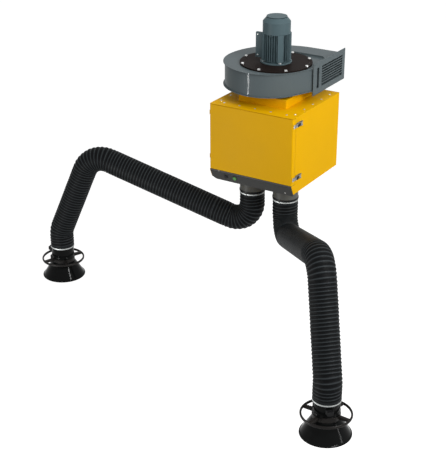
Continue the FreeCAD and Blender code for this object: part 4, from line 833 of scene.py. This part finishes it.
hose_black = hose_cloth()
hose_maker = hose_tree()
NECK_TAIL = 0.118
ELBOW_TAIL = 0.160
WRIST_TAIL = 0.075
for arm in ARMS:
    corners = arm_corners(arm)
    bends = [corner_bend(*corners[index:index + 3], BEND_RADII[index]) for index in range(3)]
    runs = [(corners[index + 1] - corners[index]).length for index in range(4)]
    straights = [runs[0] - bends[0]["reach"], runs[1] - bends[0]["reach"] - bends[1]["reach"],
                 runs[2] - bends[1]["reach"] - bends[2]["reach"], runs[3] - bends[2]["reach"]]
    arcs = [bend["arc"] for bend in bends]
    neck_end = straights[0] + arcs[0]
    elbow_start = sum(straights[:2]) + arcs[0]
    elbow_end = sum(straights[:2]) + sum(arcs[:2])
    wrist_start = sum(straights[:3]) + sum(arcs[:2])
    hose_length = sum(straights) + sum(arcs)
    cuts = [0.0, neck_end + NECK_TAIL, elbow_start - ELBOW_TAIL, elbow_end + ELBOW_TAIL,
            wrist_start - WRIST_TAIL, hose_length]
    for index, part in enumerate(("neck_hose", "upper_hose", "elbow_hose", "lower_hose", "wrist_hose")):
        path = bpy.data.meshes.new(arm + "_route")
        path.from_pydata(corners, [(step, step + 1) for step in range(4)], [])
        path.attributes.new("bend", "FLOAT", "POINT").data.foreach_set("value", (0.0, *BEND_RADII, 0.0))
        name = arm + "_" + part
        piece = made_by(hose_maker, arm + "_ribbed_" + part, path, {
            "Hose radius": HOSE_RADIUS, "Rib pitch": RIB_PITCH, "Rib depth": RIB_DEPTH,
            "Length": hose_length, "Cuff": CUFF, "From": cuts[index], "To": cuts[index + 1],
            "Tight from": neck_end, "Tight to": elbow_start,
            "Tight share": TIGHT_SHARE, "Tight fade": TIGHT_FADE, "Material": hose_black})
        wall = piece.modifiers.new("cloth_wall", "SOLIDIFY")
        wall.thickness = CLOTH_WALL
        wall.offset = -1.0
        solid = plain_mesh(piece)
        piece.modifiers.clear()
        piece.data = solid
        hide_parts(name)
        if part in ("upper_hose", "lower_hose"):
            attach(piece, arm + "_" + part.split("_")[0])
        else:
            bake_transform(piece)

# Hose clamps: bright worm-drive bands round the cuffs, each with its screw housing, to the front on
# the upper clamps and to the wall on the lower ones.
clamp_steel = plated_steel("clamp_steel", colour(170, 173, 172), roughness=0.58, scratch_scale=120.0)
dress(clamp_steel, *[arm + "_" + place + "_clamp" for arm in ARMS for place in ("collar", "hood")])
WORM_LENGTH = 0.013
WORM_DEPTH = 0.003
WORM_HEIGHT = 0.007
WORM_SEAT = 0.002
WORM_ROUND = 0.0018


def turned_to(place, degrees):
    return Matrix.Translation(place) @ Matrix.Rotation(math.radians(degrees), 4, "Z")


for arm in ARMS:
    for place, body, facing in (("collar", "swivel", -90.0), ("hood", "hood", 120.0)):
        low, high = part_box(arm + "_" + place + "_clamp")
        middle = (low + high) / 2
        radius = (high.x - low.x) / 2
        housing = rounded_block(arm + "_" + place + "_worm",
                                (radius - WORM_SEAT, -WORM_LENGTH / 2, -WORM_HEIGHT / 2),
                                (radius + WORM_DEPTH, WORM_LENGTH / 2, WORM_HEIGHT / 2), WORM_ROUND)
        housing.data.transform(turned_to(middle, facing))
        housing.data.materials.append(clamp_steel)
        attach(housing, arm + "_" + body)

# Arm skeletons: flat steel links and brackets inside the hoses, in black satin coat, on zinc-plated
# headed pins.
link_coat = coat("link_black_coat", colour(44, 45, 46), colour(90, 90, 90), roughness=0.45,
                 peel_height=0.0003)
for arm in ARMS:
    dress(link_coat, arm + "_upper_arm", arm + "_lower_arm", arm + "_wrist_bracket")
    dress(zinc, arm + "_shoulder_pin", arm + "_lower_pins")

# Hoods: glossy black mouldings with a straight collar under the clamp, a parting groove, a flared
# cone and a rolled rim. A flat boss stands out on the neck under the damper knob.
HOOD_PROFILE = ((0.0772, 0.050), (0.0772, 0.001), (0.0795, -0.0005), (0.0795, -0.055), (0.0812, -0.0565),
                (0.0816, -0.059), (0.0810, -0.0615), (0.0784, -0.0625), (0.0778, -0.065), (0.0784, -0.0675),
                (0.0795, -0.0685), (0.0795, -0.1035), (0.0812, -0.1075), (0.0827, -0.1100), (0.1435, -0.2100),
                (0.1450, -0.2125), (0.1488, -0.2148), (0.1512, -0.2158), (0.1523, -0.2175), (0.1524, -0.2205),
                (0.1512, -0.2222), (0.1478, -0.2225), (0.1450, -0.2205), (0.1436, -0.2155), (0.0752, -0.1045),
                (0.0747, -0.100), (0.0747, 0.050))
BOSS_WIDTH = 0.080
BOSS_FACE = 0.0845
BOSS_SPAN = (-0.100, -0.070)
BOSS_SEAT = 0.062
BOSS_ROUND = 0.003


def turn_into(form, centre, profile, segments=112):
    rings = []
    for radius, height in profile:
        ring = []
        for step in range(segments):
            angle = 2 * math.pi * step / segments
            spot = Vector((radius * math.cos(angle), radius * math.sin(angle), height))
            ring.append(form.verts.new(centre + spot))
        rings.append(ring)
    for index, ring in enumerate(rings):
        after = rings[(index + 1) % len(rings)]
        for step in range(segments):
            on = (step + 1) % segments
            form.faces.new((ring[step], ring[on], after[on], after[step]))


hood_black = plastic("hood_gloss_black", colour(15, 16, 16), colour(21, 22, 22), roughness=0.05,
                     grain_scale=900.0, grain_height=0.0001, gloss=0.05)
grip_black = plastic("grip_satin_black", colour(32, 30, 29), colour(42, 40, 38), roughness=0.34, gloss=0.08)
for arm in ARMS:
    hose_end = arm_corners(arm)[4]
    form = bmesh.new()
    turn_into(form, hose_end, HOOD_PROFILE)
    hood = finished(arm + "_moulded_hood", form, hood_black)
    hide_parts(arm + "_hood")
    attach(hood, arm + "_hood")
    boss = rounded_block(arm + "_hood_boss", (BOSS_SEAT, -BOSS_WIDTH / 2, BOSS_SPAN[0]),
                         (BOSS_FACE, BOSS_WIDTH / 2, BOSS_SPAN[1]), BOSS_ROUND)
    boss.data.transform(turned_to(hose_end, ARMS[arm][1]))
    boss.data.materials.append(grip_black)
    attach(boss, arm + "_hood")

# Grip rings: a round ring on four flat spokes from a band round the neck, moulded in satin black.
# The spokes stand in pairs to the left and the right of the arm, and the hood is steered by the ring.
RING_OUTER = 0.152
RING_SECTION = (0.0125, 0.018)
RING_LEVEL = -0.091
RING_POINTS = 20
BAND_INNER = 0.0797
BAND_OUTER = 0.0826
BAND_SPAN = (-0.104, -0.080)
SPOKE_WIDTH = 0.022
SPOKE_STEP = 0.002
SPOKE_SINK = 0.001
SPOKE_ROUND = 0.0022
SPOKE_ANGLES = (52.0, 128.0, 232.0, 308.0)
for arm in ARMS:
    hose_end = arm_corners(arm)[4]
    form = bmesh.new()
    ring_section = []
    for step in range(RING_POINTS):
        angle = 2 * math.pi * step / RING_POINTS
        ring_section.append((RING_OUTER - RING_SECTION[0] / 2 + RING_SECTION[0] / 2 * math.cos(angle),
                             RING_LEVEL + RING_SECTION[1] / 2 * math.sin(angle)))
    turn_into(form, hose_end, ring_section)
    turn_into(form, hose_end, [(BAND_INNER, BAND_SPAN[0]), (BAND_OUTER, BAND_SPAN[0]),
                               (BAND_OUTER, BAND_SPAN[1]), (BAND_INNER, BAND_SPAN[1])])
    for spoke_angle in SPOKE_ANGLES:
        spoke = bmesh.ops.create_cube(form, size=1.0)["verts"]
        for vertex in spoke:
            share = vertex.co.x + 0.5
            low = RING_LEVEL - RING_SECTION[1] / 2 + SPOKE_STEP * share
            high = BAND_SPAN[1] + share * (RING_LEVEL + RING_SECTION[1] / 2 - SPOKE_STEP - BAND_SPAN[1])
            reach = BAND_OUTER - SPOKE_SINK + share * (RING_OUTER - RING_SECTION[0] / 2 - BAND_OUTER)
            vertex.co = Vector((reach, vertex.co.y * SPOKE_WIDTH, low if vertex.co.z < 0 else high))
        spoke_edges = list(dict.fromkeys(edge for vertex in spoke for edge in vertex.link_edges))
        rounded = bmesh.ops.bevel(form, geom=spoke_edges, offset=SPOKE_ROUND, segments=EDGE_STEPS,
                                  profile=EDGE_PROFILE, affect="EDGES")
        corners = list(dict.fromkeys(vertex for face in rounded["faces"] for vertex in face.verts))
        bmesh.ops.transform(form, matrix=turned_to(hose_end, ARMS[arm][1] + spoke_angle), verts=corners)
    ring = finished(arm + "_moulded_grip", form, grip_black)
    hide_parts(arm + "_grip_ring")
    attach(ring, arm + "_hood")

# Dampers: a butterfly plate in the neck of each hood, turned by a block-shaped knob on the outer
# side, both in dark plastic.
for arm in ARMS:
    dress(dark_plastic, arm + "_damper")

# Wall brackets: lipped steel channels behind the cabinet, black coated. They carry it, and bolts
# anchor them to the wall.
bracket_coat = coat("bracket_black_coat", colour(48, 48, 50), colour(84, 84, 86), roughness=0.45,
                    peel_height=0.0003)
dress(bracket_coat, "wall_brackets")

# Stage: plain pale floor well below the hoods, a broad soft light from the upper right, one from
# above, and three narrow strips that draw thin highlights on the round casing and on the hoods.
FLOOR_Z = -2.35
FLOOR_GLOW = 0.62
FLOOR_HALF = 30.0
SKY_LIGHT = 0.48


def rays_that_see(tree):
    ray = tree.nodes.new("ShaderNodeLightPath")
    mask = ray.outputs["Is Camera Ray"]
    for label in ("Is Glossy Ray", "Is Transmission Ray"):
        either = tree.nodes.new("ShaderNodeMath")
        either.operation = "MAXIMUM"
        tree.links.new(mask, either.inputs[0])
        tree.links.new(ray.outputs[label], either.inputs[1])
        mask = either.outputs[0]
    return mask


floor_material, floor_tree, floor_shader = surface("pale_floor")
floor_shader.inputs["Base Color"].default_value = (0.8, 0.8, 0.8, 1.0)
floor_shader.inputs["Roughness"].default_value = 0.95
floor_shader.inputs["Specular IOR Level"].default_value = 0.0
floor_level = floor_tree.nodes.new("ShaderNodeMath")
floor_level.operation = "MULTIPLY"
floor_level.inputs[1].default_value = FLOOR_GLOW
floor_tree.links.new(rays_that_see(floor_tree), floor_level.inputs[0])
floor_glow = floor_tree.nodes.new("ShaderNodeEmission")
floor_tree.links.new(floor_level.outputs[0], floor_glow.inputs["Strength"])
floor_sum = floor_tree.nodes.new("ShaderNodeAddShader")
floor_tree.links.new(floor_shader.outputs["BSDF"], floor_sum.inputs[0])
floor_tree.links.new(floor_glow.outputs["Emission"], floor_sum.inputs[1])
floor_tree.links.new(floor_sum.outputs["Shader"], floor_tree.nodes["Material Output"].inputs["Surface"])
floor_mesh = bpy.data.meshes.new("pale_floor")
floor_corners = ((-FLOOR_HALF, -FLOOR_HALF), (FLOOR_HALF, -FLOOR_HALF),
                 (FLOOR_HALF, FLOOR_HALF), (-FLOOR_HALF, FLOOR_HALF))
floor_mesh.from_pydata([(x, y, FLOOR_Z) for x, y in floor_corners], [], [(0, 1, 2, 3)])
floor_mesh.materials.append(floor_material)
floor = bpy.data.objects.new("pale_floor", floor_mesh)
bpy.context.scene.collection.objects.link(floor)

world = bpy.data.worlds.new("studio")
bpy.context.scene.world = world
world.use_nodes = True
sky_tree = world.node_tree
sky = sky_tree.nodes["Background"]
sky.inputs["Color"].default_value = (1.0, 1.0, 1.0, 1.0)
sky.inputs["Strength"].default_value = SKY_LIGHT
open_sky = sky_tree.nodes.new("ShaderNodeBackground")
open_sky.inputs["Color"].default_value = (1.0, 1.0, 1.0, 1.0)
open_sky.inputs["Strength"].default_value = 1.0
sky_mix = sky_tree.nodes.new("ShaderNodeMixShader")
sky_tree.links.new(rays_that_see(sky_tree), sky_mix.inputs["Fac"])
sky_tree.links.new(sky.outputs["Background"], sky_mix.inputs[1])
sky_tree.links.new(open_sky.outputs["Background"], sky_mix.inputs[2])
sky_tree.links.new(sky_mix.outputs["Shader"], sky_tree.nodes["World Output"].inputs["Surface"])

for label, place, aim, wide, tall, power, mirrored in (
        ("key_right", (5.2, -2.6, 3.4), (0, -0.5, 0.1), 2.6, 2.6, 232.0, False),
        ("overhead", (0.4, -0.8, 4.6), (0, -0.5, 0), 3.0, 3.0, 28.0, False),
        ("casing_strip", (-2.0, -3.92, -1.15), (0, -0.47, 0.4), 0.42, 1.5, 150.0, True),
        ("right_hood_strip", (5.73, -0.66, 0.13), (1.03, -1.68, -1.26), 0.22, 2.2, 45.0, True),
        ("left_hood_strip", (3.02, -1.90, 1.87), (-1.54, -0.83, -1.2), 0.3, 2.4, 200.0, True)):
    lamp = bpy.data.lights.new(label, "AREA")
    lamp.shape = "RECTANGLE"
    lamp.size = wide
    lamp.size_y = tall
    lamp.energy = power
    holder = bpy.data.objects.new(label, lamp)
    holder.location = place
    holder.rotation_euler = (Vector(aim) - Vector(place)).to_track_quat("-Z", "Y").to_euler()
    holder.visible_camera = False
    holder.visible_glossy = mirrored
    holder.visible_diffuse = not mirrored
    bpy.context.scene.collection.objects.link(holder)

# Camera: at the photo's viewing angle, fitted to the edges of the cabinet and the fan.
CAMERA_PLACE = (3.3996, -6.6306, 2.5752)
CAMERA_AZIMUTH = 31.63
CAMERA_ELEVATION = 24.74
camera_data = bpy.data.cameras.new("camera")
camera_data.sensor_width = 36.0
camera_data.lens = 91.0
camera_data.clip_end = 200.0
camera = bpy.data.objects.new("camera", camera_data)
camera.location = CAMERA_PLACE
azimuth, elevation = math.radians(CAMERA_AZIMUTH), math.radians(CAMERA_ELEVATION)
towards = Vector((-math.sin(azimuth) * math.cos(elevation), math.cos(azimuth) * math.cos(elevation),
                  -math.sin(elevation)))
camera.rotation_euler = towards.to_track_quat("-Z", "Y").to_euler()
bpy.context.scene.collection.objects.link(camera)
bpy.context.scene.camera = camera
bpy.context.scene.view_settings.view_transform = "Standard"
